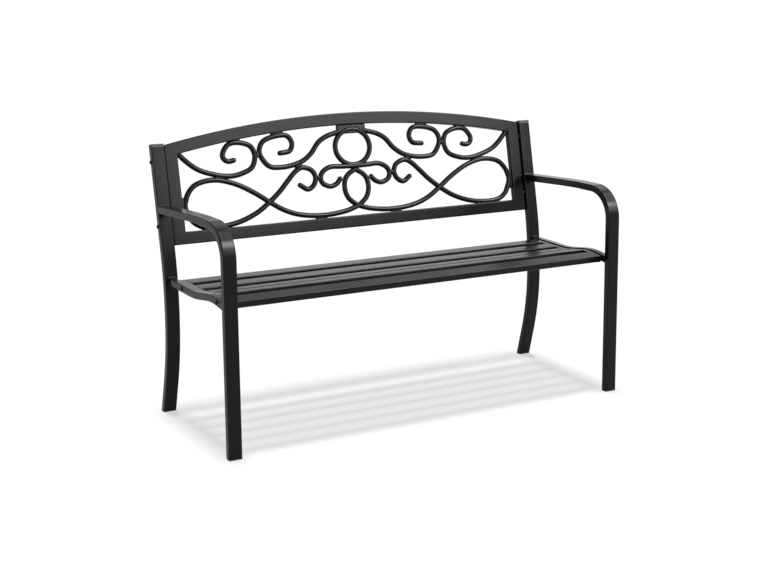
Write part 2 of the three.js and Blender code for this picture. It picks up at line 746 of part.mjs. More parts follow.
const plateClear = box(2 * atPlate, TUBE_ACROSS, 4 * PLATE_HEIGHT, 0, 0, BACK_OPENING_CROWN);

const outerScroll = cut(
  bar(OUTER_SCROLL, BAR_DIAMETER, [OUTER_SCROLL.at(-1)]).add(join(OUTER_LUGS.map(lug))),
  [...frameClear, innerClear, bar(LOOP_TOP, thick)],
);
const innerScroll = cut(
  bar(INNER_SCROLL, BAR_DIAMETER, [INNER_SCROLL.at(-1)]).add(join(INNER_LUGS.map(lug))),
  [...frameClear, curlClear, ringClear, plateClear],
);
const loopBack = cut(bar(LOOP_TOP, BAR_DIAMETER), [bar(CURL.slice(0, -5), thick)]);
const curlBar = cut(
  join([bar(CURL, BAR_DIAMETER, [CURL[0]]), loopBack, ...CURL_LUGS.map(lug)]),
  frameClear,
);
const valleyBar = cut(
  bar(VALLEY, BAR_DIAMETER).add(join(VALLEY_LUGS.map(lug))),
  [...frameClear, curlClear, bar(LOOP_TOP, thick), teardropClear, acrossMiddle],
);
const moustache = cut(
  loop(bar(MOUSTACHE, BAR_DIAMETER, [MOUSTACHE[0]]).add(join(MOUSTACHE_LUGS.map(lug)))),
  [curlClear, mirrored(curlClear)],
);
const teardrop = cut(
  loop(bar(TEARDROP, BAR_DIAMETER).add(join(TEARDROP_LUGS.map(lug)))),
  [moustacheClear],
);
const ring = cut(loop(ringHalf(BAR_DIAMETER)), [moustacheClear]);
const plate = cut(
  box(PLATE_WIDTH, LUG_DEPTH, PLATE_HEIGHT, 0, 0, BACK_OPENING_CROWN - PLATE_HEIGHT / 2),
  [frameClear[0], ringClear],
);

const pairs = {
  outer_scroll: outerScroll,
  inner_scroll: innerScroll,
  curl_bar: curlBar,
  valley_bar: valleyBar,
};
for (const [name, body] of Object.entries(pairs)) {
  place(back, `${name}_left`, mirrored(body), coat);
  place(back, `${name}_right`, body, coat);
}
place(back, 'moustache_bar', moustache, coat);
place(back, 'teardrop', teardrop, coat);
place(back, 'ring', ring, coat);
place(back, 'crown_plate', plate, coat);

// The bench stands on z = 0 with its bounding box centred over the origin.
bench.updateMatrixWorld(true);
const bounds = new THREE.Box3().setFromObject(bench, true);
bench.position.set(0, -(bounds.min.y + bounds.max.y) / 2, -bounds.min.z);

export default bench;
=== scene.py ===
"""A steel garden bench: two bent-tube side frames, a slatted seat and a leaning scrollwork back.

Everything is in metres, with +X along the bench, +Y to its back and +Z up.
"""

import logging
import math
from collections.abc import Iterable, Sequence
from dataclasses import dataclass, field
from enum import Enum

import bmesh
import bpy
from mathutils import Matrix, Vector


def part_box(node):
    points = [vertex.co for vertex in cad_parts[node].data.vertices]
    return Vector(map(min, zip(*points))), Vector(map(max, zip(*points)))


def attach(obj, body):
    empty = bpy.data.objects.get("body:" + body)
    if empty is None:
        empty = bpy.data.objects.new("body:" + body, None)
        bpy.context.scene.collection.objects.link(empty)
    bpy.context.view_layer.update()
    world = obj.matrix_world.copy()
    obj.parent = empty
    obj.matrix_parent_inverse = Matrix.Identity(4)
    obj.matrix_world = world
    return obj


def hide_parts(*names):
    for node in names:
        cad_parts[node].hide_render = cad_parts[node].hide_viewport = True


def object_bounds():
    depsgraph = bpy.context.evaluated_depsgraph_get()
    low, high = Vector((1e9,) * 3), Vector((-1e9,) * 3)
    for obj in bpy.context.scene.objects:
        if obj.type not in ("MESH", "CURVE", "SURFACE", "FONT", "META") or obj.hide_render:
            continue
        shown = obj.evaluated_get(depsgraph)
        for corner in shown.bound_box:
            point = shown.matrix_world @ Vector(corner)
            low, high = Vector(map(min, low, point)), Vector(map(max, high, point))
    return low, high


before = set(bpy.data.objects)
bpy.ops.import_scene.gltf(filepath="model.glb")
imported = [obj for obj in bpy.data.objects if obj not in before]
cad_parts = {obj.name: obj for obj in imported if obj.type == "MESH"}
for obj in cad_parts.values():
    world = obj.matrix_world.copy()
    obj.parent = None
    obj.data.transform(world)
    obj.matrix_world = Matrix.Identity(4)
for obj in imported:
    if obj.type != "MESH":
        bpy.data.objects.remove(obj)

CAD_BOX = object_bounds()
LOG = logging.getLogger("bench")
X_AXIS = Vector((1, 0, 0))
Y_AXIS = Vector((0, 1, 0))
Z_AXIS = Vector((0, 0, 1))
FULL_TURN = 2 * math.pi
QUARTER_TURN = FULL_TURN / 4


class Side(Enum):
    """The two ends of the bench; the value is the sign of X there."""

    LEFT = -1
    RIGHT = 1

    @property
    def word(self) -> str:
        """The side's word in piece names."""
        return self.name.lower()


# ---------------------------------------------------------------- materials

GRAIN = "grain"
SEEN_RAYS = ("Camera", "Glossy", "Transmission")
COLOUR_MIX_INPUTS = (0, 6, 7)
COLOUR_MIX_OUTPUT = 2


class Value:
    """What a node gives, such as a number that varies over a surface; arithmetic adds Math nodes."""

    def __init__(self, tree: bpy.types.NodeTree, output: bpy.types.NodeSocket) -> None:
        """Wraps an output socket of a node tree."""
        self.tree = tree
        self.output = output

    def math(self, operation: str, *operands: "Value | float", clamp: bool = False) -> "Value":
        """Adds one Math node.

        Args:
            operation: the Math node's operation.
            *operands: its inputs, in order.
            clamp: whether the result stays between 0 and 1.

        Returns:
            The node's result.
        """
        node = self.tree.nodes.new("ShaderNodeMath")
        node.operation = operation
        node.use_clamp = clamp
        for socket, operand in zip(node.inputs, operands):
            feed(self.tree, socket, operand)
        return Value(self.tree, node.outputs[0])

    def __add__(self, other: "Value | float") -> "Value":
        """Adds."""
        return self.math("ADD", self, other)

    __radd__ = __add__

    def __sub__(self, other: "Value | float") -> "Value":
        """Subtracts other."""
        return self.math("SUBTRACT", self, other)

    def __rsub__(self, other: float) -> "Value":
        """Subtracts self from a number."""
        return self.math("SUBTRACT", other, self)

    def __mul__(self, other: "Value | float") -> "Value":
        """Multiplies."""
        return self.math("MULTIPLY", self, other)

    __rmul__ = __mul__

    def clamped(self) -> "Value":
        """The value held between 0 and 1."""
        return self.math("ADD", self, 0.0, clamp=True)


def feed(tree: bpy.types.NodeTree, socket: bpy.types.NodeSocket, given: object) -> None:
    """Links a value to a node's input, or sets a constant on it.

    Args:
        tree: the node tree.
        socket: the input.
        given: a Value, or a number, colour or vector.
    """
    if isinstance(given, Value):
        tree.links.new(given.output, socket)
    else:
        socket.default_value = given


def seen_share(tree: bpy.types.NodeTree) -> Value:
    """Tells what looks at a surface.

    Args:
        tree: the node tree that asks.

    Returns:
        1 where the camera, gloss or glass looks, and 0 elsewhere.
    """
    rays = tree.nodes.new("ShaderNodeLightPath")
    first, *others = [Value(tree, rays.outputs[f"Is {kind} Ray"]) for kind in SEEN_RAYS]
    return sum(others, first).clamped()


class Shading:
    """One material's nodes, ending in a Principled shader."""

    def __init__(self, name: str) -> None:
        """Starts an empty material.

        Args:
            name: the material's name.
        """
        self.material = bpy.data.materials.new(name)
        self.material.use_nodes = True
        self.tree = self.material.node_tree
        self.tree.nodes.clear()
        self.shader = self.tree.nodes.new("ShaderNodeBsdfPrincipled")
        self.output = self.tree.nodes.new("ShaderNodeOutputMaterial")
        self.tree.links.new(self.shader.outputs["BSDF"], self.output.inputs["Surface"])
        self.place = self.node("ShaderNodeTexCoord", "Object")
        self.lie = self.node("ShaderNodeAttribute", "Vector")
        self.lie.output.node.attribute_name = GRAIN

    def feed_all(self, node: bpy.types.Node, inputs: dict[str, object]) -> None:
        """Feeds a node's inputs, whose names have _ for a space."""
        for key, given in inputs.items():
            feed(self.tree, node.inputs[key.replace("_", " ")], given)

    def node(self, kind: str, output: str, **inputs: object) -> Value:
        """Adds a node.

        Args:
            kind: the node's type.
            output: the name of the output that is wanted.
            **inputs: what its inputs get, with _ for a space.

        Returns:
            The wanted output.
        """
        node = self.tree.nodes.new(kind)
        self.feed_all(node, inputs)
        return Value(self.tree, node.outputs[output])

    def noise(self, size: float, detail: float = 2.0) -> Value:
        """Noise about 0.5, with lumps of about a size and octaves of finer detail."""
        return self.node("ShaderNodeTexNoise", "Fac", Vector=self.place, Scale=1 / size, Detail=detail)

    def streaks(self, width: float, length: float, contrast: float) -> Value:
        """Streaks that follow the grain, which runs along each bar and tube.

        Args:
            width: how far apart the streaks lie.
            length: about how long each is.
            contrast: how strongly they stand out.

        Returns:
            Values from 0 to 1 about a middle of 0.5.
        """
        along = self.node("ShaderNodeMapping", "Vector", Vector=self.lie, Scale=(1, 1, width / length))
        lumps = self.node("ShaderNodeTexNoise", "Fac", Vector=along, Scale=1 / width, Detail=2.0)
        return ((lumps - 0.5) * contrast + 0.5).clamped()

    def blend_colours(self, factor: Value, low: Sequence[float], high: Sequence[float]) -> Value:
        """Blends two colours.

        Args:
            factor: 0 for the first colour and 1 for the second.
            low: the first colour.
            high: the second colour.

        Returns:
            The blend.
        """
        node = self.tree.nodes.new("ShaderNodeMix")
        node.data_type = "RGBA"
        for index, given in zip(COLOUR_MIX_INPUTS, (factor, (*low, 1), (*high, 1))):
            feed(self.tree, node.inputs[index], given)
        return Value(self.tree, node.outputs[COLOUR_MIX_OUTPUT])

    def bump(self, height: Value, depth: float) -> Value:
        """A normal that follows a height of up to `depth` metres."""
        return self.node("ShaderNodeBump", "Normal", Height=height, Distance=depth, Strength=1.0)

    def finish(self, **inputs: object) -> bpy.types.Material:
        """Feeds the shader's inputs, named with _ for a space, and gives the material."""
        self.feed_all(self.shader, inputs)
        return self.material

    def glow(self, share: float) -> None:
        """Mixes plain white into what the camera, gloss and glass see of the surface.

        Args:
            share: the share of white.
        """
        white = self.node("ShaderNodeEmission", "Emission", Strength=1.0)
        mixed = self.node("ShaderNodeMixShader", "Shader", Fac=seen_share(self.tree) * share)
        _, plain, glowing = mixed.output.node.inputs
        self.tree.links.new(self.shader.outputs["BSDF"], plain)
        self.tree.links.new(white.output, glowing)
        self.tree.links.new(mixed.output, self.output.inputs["Surface"])


@dataclass(frozen=True)
class PowderCoat:
    """Satin black powder coat on steel, with a fine orange-peel texture."""

    name: str
    shade: float = 0.0015
    worn_shade: float = 0.005
    coolness: float = 1.03
    specular: float = 0.13
    roughness: float = 0.21
    roughness_spread: float = 0.13
    cloud_size: float = 0.05
    cloud_share: float = 0.4
    peel_size: float = 0.0011
    peel_depth: float = 0.00003
    streak_width: float = 0.0016
    streak_length: float = 0.22
    streak_contrast: float = 2.2
    streak_share: float = 0.6
    streak_height: float = 0.8
    band_width: float = 0.0064

    def material(self) -> bpy.types.Material:
        """Makes the coat's nodes.

        Returns:
            The coat as a material.
        """
        shading = Shading(self.name)
        cloud = shading.noise(self.cloud_size, detail=3)
        streak = shading.streaks(self.streak_width, self.streak_length, self.streak_contrast)
        band = shading.streaks(self.band_width, self.streak_length, self.streak_contrast)
        peel = shading.noise(self.peel_size, detail=1)
        lines_share = (1 - self.cloud_share) / 2
        tone = (cloud * self.cloud_share + streak * lines_share + band * lines_share).clamped()
        low, high = [(shade, shade, shade * self.coolness) for shade in (self.shade, self.worn_shade)]
        rough = streak * self.streak_share + band * (1 - self.streak_share) - 0.5
        return shading.finish(
            Base_Color=shading.blend_colours(tone, low, high),
            Roughness=rough * self.roughness_spread + self.roughness,
            Specular_IOR_Level=self.specular,
            Normal=shading.bump(peel + streak * self.streak_height, self.peel_depth),
        )


@dataclass(frozen=True)
class CapPlastic:
    """Moulded black polythene with a fine matte grain."""

    name: str = "black_cap_plastic"
    dark: float = 0.010
    pale: float = 0.016
    cloud_size: float = 0.02
    roughness: float = 0.5
    roughness_spread: float = 0.1
    grain_size: float = 0.0006
    grain_depth: float = 0.00002

    def material(self) -> bpy.types.Material:
        """Makes the plastic's nodes.

        Returns:
            The plastic as a material.
        """
        shading = Shading(self.name)
        grain = shading.noise(self.grain_size)
        cloud = shading.noise(self.cloud_size)
        return shading.finish(
            Base_Color=shading.blend_colours(cloud, (self.dark,) * 3, (self.pale,) * 3),
            Roughness=cloud * self.roughness_spread + self.roughness,
            Normal=shading.bump(grain, self.grain_depth),
        )


@dataclass(frozen=True)
class PlatedSteel:
    """Plated steel of bolts and inserts."""

    name: str
    colour: tuple[float, float, float]
    roughness: float
    roughness_spread: float = 0.2
    dull_share: float = 0.8
    cloud_size: float = 0.003
    metal: float = 0.9

    def material(self) -> bpy.types.Material:
        """Makes the plating's nodes.

        Returns:
            The plating as a material.
        """
        shading = Shading(self.name)
        cloud = shading.noise(self.cloud_size, detail=3)
        low = tuple(self.dull_share * channel for channel in self.colour)
        return shading.finish(
            Base_Color=shading.blend_colours(cloud, low, self.colour),
            Metallic=self.metal,
            Roughness=cloud * self.roughness_spread + self.roughness,
        )


class Finish(Enum):
    """The finishes of the bench: each one's slot in the record, and its recipe."""

    COAT = ("coated_steel", PowderCoat("black_powder_coat"))
    SEAT_COAT = ("coated_steel", PowderCoat("black_powder_coat_seat", roughness=0.3))
    PLASTIC = ("black_plastic", CapPlastic())
    BLACK_BOLT = ("dark_hardware", PlatedSteel("blackened_steel", (0.035, 0.035, 0.037), 0.3))
    ZINC = ("zinc_hardware", PlatedSteel("zinc_plate", (0.62, 0.64, 0.66), 0.25))

    @property
    def slot(self) -> str:
        """The slot in the record that the finish fills."""
        return self.value[0]


FINISHES = {finish: finish.value[1].material() for finish in Finish}


# ---------------------------------------------------------------- paths

BEND_STEP = math.radians(3)
SHORTEST_STEP = 1e-4
MARK_DIGITS = 6
HALVINGS = 40


@dataclass(frozen=True)
class Station:
    """A place on a flat path and its heading, in radians from the plane's first axis."""

    first: float
    second: float
    heading: float


@dataclass(frozen=True)
class WorkPlane:
    """A plane to draw paths in: an origin and two axes at right angles."""

    origin: Vector
    first: Vector
    second: Vector

    @property
    def normal(self) -> Vector:
        """The direction square to the plane."""
        return self.first.cross(self.second)

    def point(self, first: float, second: float) -> Vector:
        """A place in the plane."""
        return self.origin + self.first * first + self.second * second

    def direction(self, heading: float) -> Vector:
        """The direction of a heading."""
        return self.first * math.cos(heading) + self.second * math.sin(heading)

    def matrix(self, station: Station) -> Matrix:
        """Where a section drawn in X and Y goes.

        Args:
            station: the station that the section is for.

        Returns:
            Its place, with X square to the plane and Z along the path.
        """
        along = self.direction(station.heading)
        axes = Matrix((-self.normal, self.normal.cross(along), along)).transposed()
        return Matrix.Translation(self.point(station.first, station.second)) @ axes.to_4x4()


@dataclass
class Walk:
    """A line of straights and bends in a plane, walked from one end.

    Each of its pieces is a run, a radius and the sign of its turn; a straight's radius is 0.
    """

    start: Station
    pieces: list[tuple[float, float, float]] = field(default_factory=list)

    def straight(self, run: float) -> "Walk":
        """Goes straight on."""
        self.pieces.append((run, 0.0, 0.0))
        return self

    def bend(self, radius: float, degrees: float) -> "Walk":
        """Turns on a radius.

        Args:
            radius: the bend's radius.
            degrees: the turn, positive from the plane's first axis towards its second.

        Returns:
            The same walk.
        """
        turn = math.radians(degrees)
        self.pieces.append((radius * abs(turn), radius, math.copysign(1.0, turn)))
        return self

    @staticmethod
    def advance(start: Station, run: float, radius: float = 0.0, sign: float = 0.0) -> Station:
        """Walks on one piece.

        Args:
            start: where the piece starts.
            run: how far to go on it.
            radius: its radius, or 0.
            sign: the sign of its turn.

        Returns:
            The station after the run.
        """
        if radius == 0:
            first = start.first + run * math.cos(start.heading)
            return Station(first, start.second + run * math.sin(start.heading), start.heading)
        heading = start.heading + sign * run / radius
        return Station(
            start.first + sign * radius * (math.sin(heading) - math.sin(start.heading)),
            start.second - sign * radius * (math.cos(heading) - math.cos(start.heading)),
            heading,
        )

    @property
    def length(self) -> float:
        """The whole length of the line."""
        return sum(run for run, _, _ in self.pieces)

    def at(self, distance: float) -> Station:
        """The station at a distance, carried on straight past either end.

        Args:
            distance: the distance from the line's start.

        Returns:
            The station there.
        """
        here = self.start
        if distance < 0:
            return self.advance(here, distance)
        for run, radius, sign in self.pieces:
            if distance <= run:
                return self.advance(here, distance, radius, sign)
            here = self.advance(here, run, radius, sign)
            distance -= run
        return self.advance(here, distance)

    def stations(self, low: float, high: float, turn_step: float = BEND_STEP) -> list[Station]:
        """Stations from one distance to another, close together in the bends.

        Args:
            low: the first distance.
            high: the last distance.
            turn_step: the most that the heading may turn between two stations.

        Returns:
            The stations, in order.
        """
        marks = []
        begun = 0.0
        for run, radius, _ in self.pieces:
            count = 1 if radius == 0 else max(2, math.ceil(run / radius / turn_step))
            marks += [begun + run * index / count for index in range(count + 1)]
            begun += run
        first, last = low + SHORTEST_STEP, high - SHORTEST_STEP
        inner = sorted({round(mark, MARK_DIGITS) for mark in marks if first < mark < last})
        return [self.at(mark) for mark in [low, *inner, high]]

    def stretch(self, low: float, high: float) -> "Walk":
        """A part of the line.

        Args:
            low: the distance where it starts.
            high: the distance where it ends.

        Returns:
            The part, as a line of its own.
        """
        part = Walk(self.at(low))
        begun = 0.0
        for run, radius, sign in self.pieces:
            kept = min(high, begun + run) - max(low, begun)
            if kept > 0:
                part.pieces.append((kept, radius, sign))
            begun += run
        return part

    def distance_where(self, axis: str, value: float) -> float:
        """Finds where a coordinate that only grows along the line reaches a value.

        Args:
            axis: the coordinate, `first` or `second`.
            value: the value.

        Returns:
            The distance along the line.
        """
        low, high = 0.0, self.length
        for _ in range(HALVINGS):
            middle = (low + high) / 2
            if getattr(self.at(middle), axis) < value:
                low = middle
            else:
                high = middle
        return low


# ---------------------------------------------------------------- mesh tools

# Points nearer than these count as one: on a cut or a lathe's axis, in a piece, where the ring closes.
SAME_PLACE = 1e-7
TOUCHING = 1e-6
SEAM = 1e-5
SHARP_ANGLE = math.radians(32)
ARC_STEPS = 5
ROUND_SIDES = 16
LATHE_SIDES = 24
Mesh = bmesh.types.BMesh


def blank_mesh() -> Mesh:
    """Starts a mesh whose points can hold their place in the grain.

    Returns:
        The empty mesh.
    """
    mesh = bmesh.new()
    mesh.verts.layers.float_vector.new(GRAIN)
    return mesh


def quarter_turn(steps: int) -> list[float]:
    """The angles of a quarter turn in equal steps, without its start."""
    return [QUARTER_TURN * index / steps for index in range(1, steps + 1)]


def lay_grain(mesh: Mesh) -> None:
    """Takes the points' present places as their places in the grain, which runs along Z.

    Args:
        mesh: the bmesh that holds them.
    """
    lie = mesh.verts.layers.float_vector[GRAIN]
    for vert in mesh.verts:
        vert[lie] = vert.co


def rounded_section(across: float, in_plane: float, corner: float) -> Mesh:
    """Draws a rounded rectangle.

    Args:
        across: its size along X.
        in_plane: its size along Y.
        corner: the radius of its corners.

    Returns:
        A new mesh that holds its edges.
    """
    mesh = blank_mesh()
    bmesh.ops.create_circle(mesh, cap_ends=True, segments=4, radius=math.sqrt(0.5))
    shape = Matrix.Diagonal((across, in_plane, 1, 1)) @ Matrix.Rotation(FULL_TURN / 8, 4, "Z")
    bmesh.ops.transform(mesh, matrix=shape, verts=mesh.verts[:])
    bmesh.ops.bevel(
        mesh, geom=mesh.verts[:], offset=corner, offset_type="OFFSET", segments=ARC_STEPS,
        profile=0.5, affect="VERTICES", material=-1,
    )
    bmesh.ops.delete(mesh, geom=mesh.faces[:], context="FACES_ONLY")
    return mesh


def round_section(diameter: float) -> Mesh:
    """Draws a circle.

    Args:
        diameter: its diameter.

    Returns:
        A new mesh that holds its edges.
    """
    mesh = blank_mesh()
    bmesh.ops.create_circle(mesh, cap_ends=False, segments=ROUND_SIDES, radius=diameter / 2)
    return mesh


def grow_ring(mesh: Mesh, edges: list, matrix: Matrix, run: float = 0.0) -> list:
    """Extrudes a ring of edges and moves the new ring.

    Args:
        mesh: the bmesh that holds the ring.
        edges: the ring's edges.
        matrix: the move from the old ring to the new one.
        run: how much further along the grain the new ring lies.

    Returns:
        The new ring's edges.
    """
    made = bmesh.ops.extrude_edge_only(mesh, edges=edges)["geom"]
    verts = [item for item in made if isinstance(item, bmesh.types.BMVert)]
    bmesh.ops.transform(mesh, matrix=matrix, verts=verts)
    lie = mesh.verts.layers.float_vector[GRAIN]
    for vert in verts:
        vert[lie] = vert[lie] + run * Z_AXIS
    return [item for item in made if isinstance(item, bmesh.types.BMEdge)]


def grow_steps(mesh: Mesh, rim: list, home: Matrix, steps: Iterable[Sequence[float]]) -> list:
    """Grows a rim through a row of rings.

    Args:
        mesh: the bmesh that holds the rim.
        rim: the rim's edges.
        home: the rim's place.
        steps: each new ring's height over the rim, along home's Z, and its scales in X and Y.

    Returns:
        The last ring's edges.
    """
    last = Matrix.Identity(4)
    for height, *scales in steps:
        local = Matrix.Translation((0, 0, height)) @ Matrix.Diagonal((*scales, 1, 1))
        rim = grow_ring(mesh, rim, home @ local @ last.inverted() @ home.inverted())
        last = local
    return rim


def cap_ring(mesh: Mesh, edges: list) -> None:
    """Closes a ring of edges with one face."""
    bmesh.ops.contextual_create(mesh, geom=edges)


def drag(mesh: Mesh, plane: WorkPlane, stations: Sequence[Station]) -> list[tuple[list, Matrix]]:
    """Drags the section that a mesh holds through stations.

    Args:
        mesh: the bmesh that holds the section, drawn in X and Y.
        plane: the plane of the path.
        stations: the path.

    Returns:
        The edges and the place of its first ring, and those of its last.
    """
    edges = mesh.edges[:]
    last = plane.matrix(stations[0])
    lay_grain(mesh)
    bmesh.ops.transform(mesh, matrix=last, verts=mesh.verts[:])
    start = (edges, last)
    for station in stations[1:]:
        place = plane.matrix(station)
        run = (place.translation - last.translation).length
        edges = grow_ring(mesh, edges, place @ last.inverted(), run)
        last = place
    return [start, (edges, last)]


def sweep(mesh: Mesh, plane: WorkPlane, stations: Sequence[Station],
          domes: tuple[bool, bool] = (False, False), radius: float = 0.0) -> None:
    """Sweeps a section through stations and closes both ends.

    Args:
        mesh: the bmesh that holds the section, drawn in X and Y.
        plane: the plane of the path.
        stations: the path.
        domes: whether the start and the end are half balls; a flat face closes any other end.
        radius: the bar's radius, where an end is a half ball.
    """
    ends = drag(mesh, plane, stations)
    for (ring, place), domed, outward in zip(ends, domes, (-1, 1)):
        arc = quarter_turn(ARC_STEPS)[:-1] if domed else []
        steps = [(outward * radius * math.sin(angle), math.cos(angle), math.cos(angle)) for angle in arc]
        cap_ring(mesh, grow_steps(mesh, ring, place, steps))


def trim(mesh: Mesh, point: Vector, outward: Vector, weld: Sequence[float] = (0.0, 0.0)) -> None:
    """Cuts off what lies past a plane and closes the cut, on a weld fillet if there is one.

    Args:
        mesh: the closed bmesh to cut.
        point: a point on the plane, in the middle of the cut.
        outward: the direction of what goes.
        weld: how far the fillet spreads over the plane, along X and square to X.
    """
    depth = max(weld)
    start = point - outward * depth
    cut = bmesh.ops.bisect_plane(
        mesh, geom=mesh.verts[:] + mesh.edges[:] + mesh.faces[:], plane_co=start, plane_no=outward,
        clear_outer=True, dist=SAME_PLACE,
    )
    rim = [item for item in cut["geom_cut"] if isinstance(item, bmesh.types.BMEdge)]
    if depth > 0:
        rim = flare(mesh, rim, WorkPlane(start, X_AXIS, outward.cross(X_AXIS)), weld)
    cap_ring(mesh, rim)


def flare(mesh: Mesh, rim: list, plane: WorkPlane, spread: Sequence[float]) -> list:
    """Grows a hollow fillet from a rim, as deep as its larger spread.

    Args:
        mesh: the bmesh that holds the rim.
        rim: the rim's edges.
        plane: the rim's plane, its normal outwards.
        spread: how far it spreads along the plane's first and second axes.

    Returns:
        The fillet's last ring of edges.
    """
    places = [vert.co - plane.origin for edge in rim for vert in edge.verts]
    half = [max(abs(place.dot(axis)) for place in places) for axis in (plane.first, plane.second)]
    growth = [each / size for each, size in zip(spread, half)]
    axes = Matrix((plane.first, plane.second, plane.normal)).transposed().to_4x4()
    steps = [
        (max(spread) * math.sin(angle), *(1 + (1 - math.cos(angle)) * share for share in growth))
        for angle in quarter_turn(ARC_STEPS)
    ]
    return grow_steps(mesh, rim, Matrix.Translation(plane.origin) @ axes, steps)


def lathe(profile: Sequence[Sequence[float]]) -> Mesh:
    """Spins a profile round Z.

    Args:
        profile: radii and heights, in order.

    Returns:
        The new mesh.
    """
    mesh = blank_mesh()
    verts = [mesh.verts.new((radius, 0, height)) for radius, height in profile]
    edges = [mesh.edges.new(pair) for pair in zip(verts, verts[1:])]
    bmesh.ops.spin(
        mesh, geom=verts + edges, cent=(0, 0, 0), axis=Z_AXIS, angle=FULL_TURN,
        steps=LATHE_SIDES, use_merge=True,
    )
    bmesh.ops.remove_doubles(mesh, verts=mesh.verts[:], dist=SAME_PLACE)
    return mesh


def soften(mesh: Mesh, edges: list, radius: float, segments: int = 3) -> None:
    """Rounds some edges.

    Args:
        mesh: the bmesh that holds them.
        edges: the edges.
        radius: the radius.
        segments: how many steps the rounding has.
    """
    bmesh.ops.bevel(
        mesh, geom=edges, offset=radius, offset_type="OFFSET", segments=segments,
        profile=0.5, affect="EDGES", material=-1,
    )


def edges_in_plane(mesh: Mesh, point: Vector, normal: Vector) -> list:
    """The edges that lie in a plane.

    Args:
        mesh: the bmesh that holds them.
        point: a point of the plane.
        normal: the direction square to it.

    Returns:
        The edges.
    """
    near = {vert for vert in mesh.verts if abs((vert.co - point).dot(normal)) < TOUCHING}
    return [edge for edge in mesh.edges if near.issuperset(edge.verts)]


def rounded_block(size: Sequence[float], corner: float, place: Matrix) -> Mesh:
    """A block with rounded edges.

    Args:
        size: its sizes along its own axes.
        corner: the radius of its edges.
        place: where it goes.

    Returns:
        The new mesh.
    """
    mesh = blank_mesh()
    bmesh.ops.create_cube(mesh, size=1, matrix=Matrix.Diagonal((*size, 1)))
    soften(mesh, mesh.edges[:], corner)
    lay_grain(mesh)
    bmesh.ops.transform(mesh, matrix=place, verts=mesh.verts[:])
    return mesh


def mirrored(mesh: Mesh) -> Mesh:
    """Mirrors a mesh across the middle of the bench.

    Args:
        mesh: the mesh, which stays as it is.

    Returns:
        The mirrored copy.
    """
    copy = mesh.copy()
    bmesh.ops.scale(copy, vec=(-1, 1, 1), verts=copy.verts[:])
    bmesh.ops.reverse_faces(copy, faces=copy.faces[:])
    return copy


def mesh_data(name: str, mesh: Mesh) -> bpy.types.Mesh:
    """Turns a bmesh into mesh data.

    Args:
        name: the name of the data.
        mesh: the bmesh, which is freed.

    Returns:
        The mesh data.
    """
    data = bpy.data.meshes.new(name)
    mesh.to_mesh(data)
    mesh.free()
    return data


def join_meshes(first: Mesh, *others: Mesh) -> Mesh:
    """Adds other meshes to the first.

    Args:
        first: the mesh that grows.
        *others: the meshes that are added and freed.

    Returns:
        The first mesh.
    """
    for other in others:
        carrier = mesh_data("carrier", other)
        first.from_mesh(carrier)
        bpy.data.meshes.remove(carrier)
    return first


def add_object(name: str, data: bpy.types.ID) -> bpy.types.Object:
    """Adds an object to the scene.

    Args:
        name: its name.
        data: its mesh, camera or light.

    Returns:
        The object.
    """
    made = bpy.data.objects.new(name, data)
    bpy.context.scene.collection.objects.link(made)
    return made


def make_piece(node: str, ending: str, mesh: Mesh, finish: Finish = Finish.COAT) -> None:
    """Turns a bmesh into a finished piece of the bench.

    Args:
        node: the frame's node that it stands for.
        ending: what its name has after the node's.
        mesh: its shape, in place; it is used up.
        finish: its finish.
    """
    bmesh.ops.remove_doubles(mesh, verts=mesh.verts[:], dist=TOUCHING)
    bmesh.ops.recalc_face_normals(mesh, faces=mesh.faces[:])
    for face in mesh.faces:
        face.smooth = True
    name = f"{node}_{ending}"
    data = mesh_data(name, mesh)
    data.set_sharp_from_angle(angle=SHARP_ANGLE)
    data.materials.append(FINISHES[finish])
    piece = add_object(name, data)
    even = piece.modifiers.new("even_shading", "WEIGHTED_NORMAL")
    even.keep_sharp = True
    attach(piece, "root")
    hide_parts(node)
    LOG.info("%s: %d faces", name, len(data.polygons))


# ---------------------------------------------------------------- the bench

JOINT_GAP = 0.0003


@dataclass(frozen=True)
class Stock:
    """A rectangular steel tube."""

    across: float
    in_plane: float
    corner: float

    def run(self, plane: WorkPlane, stations: Sequence[Station]) -> Mesh:
        """A length of the tube, closed at both ends.

        Args:
            plane: the plane of its path.
            stations: its path.

        Returns:
            The tube.
        """
        mesh = rounded_section(self.across, self.in_plane, self.corner)
        sweep(mesh, plane, stations)
        return mesh

    def smaller(self, by: float) -> "Stock":
        """A stock that fits inside, smaller by a distance all round."""
        return Stock(self.across - 2 * by, self.in_plane - 2 * by, self.corner / 2)


FRAME_TUBE = Stock(across=0.038, in_plane=0.020, corner=0.003)
SUPPORT_TUBE = Stock(across=0.020, in_plane=0.020, corner=0.0025)
STILE_TUBE = Stock(across=0.020, in_plane=0.038, corner=0.003)
RAIL_TUBE = Stock(across=0.020, in_plane=0.035, corner=0.003)


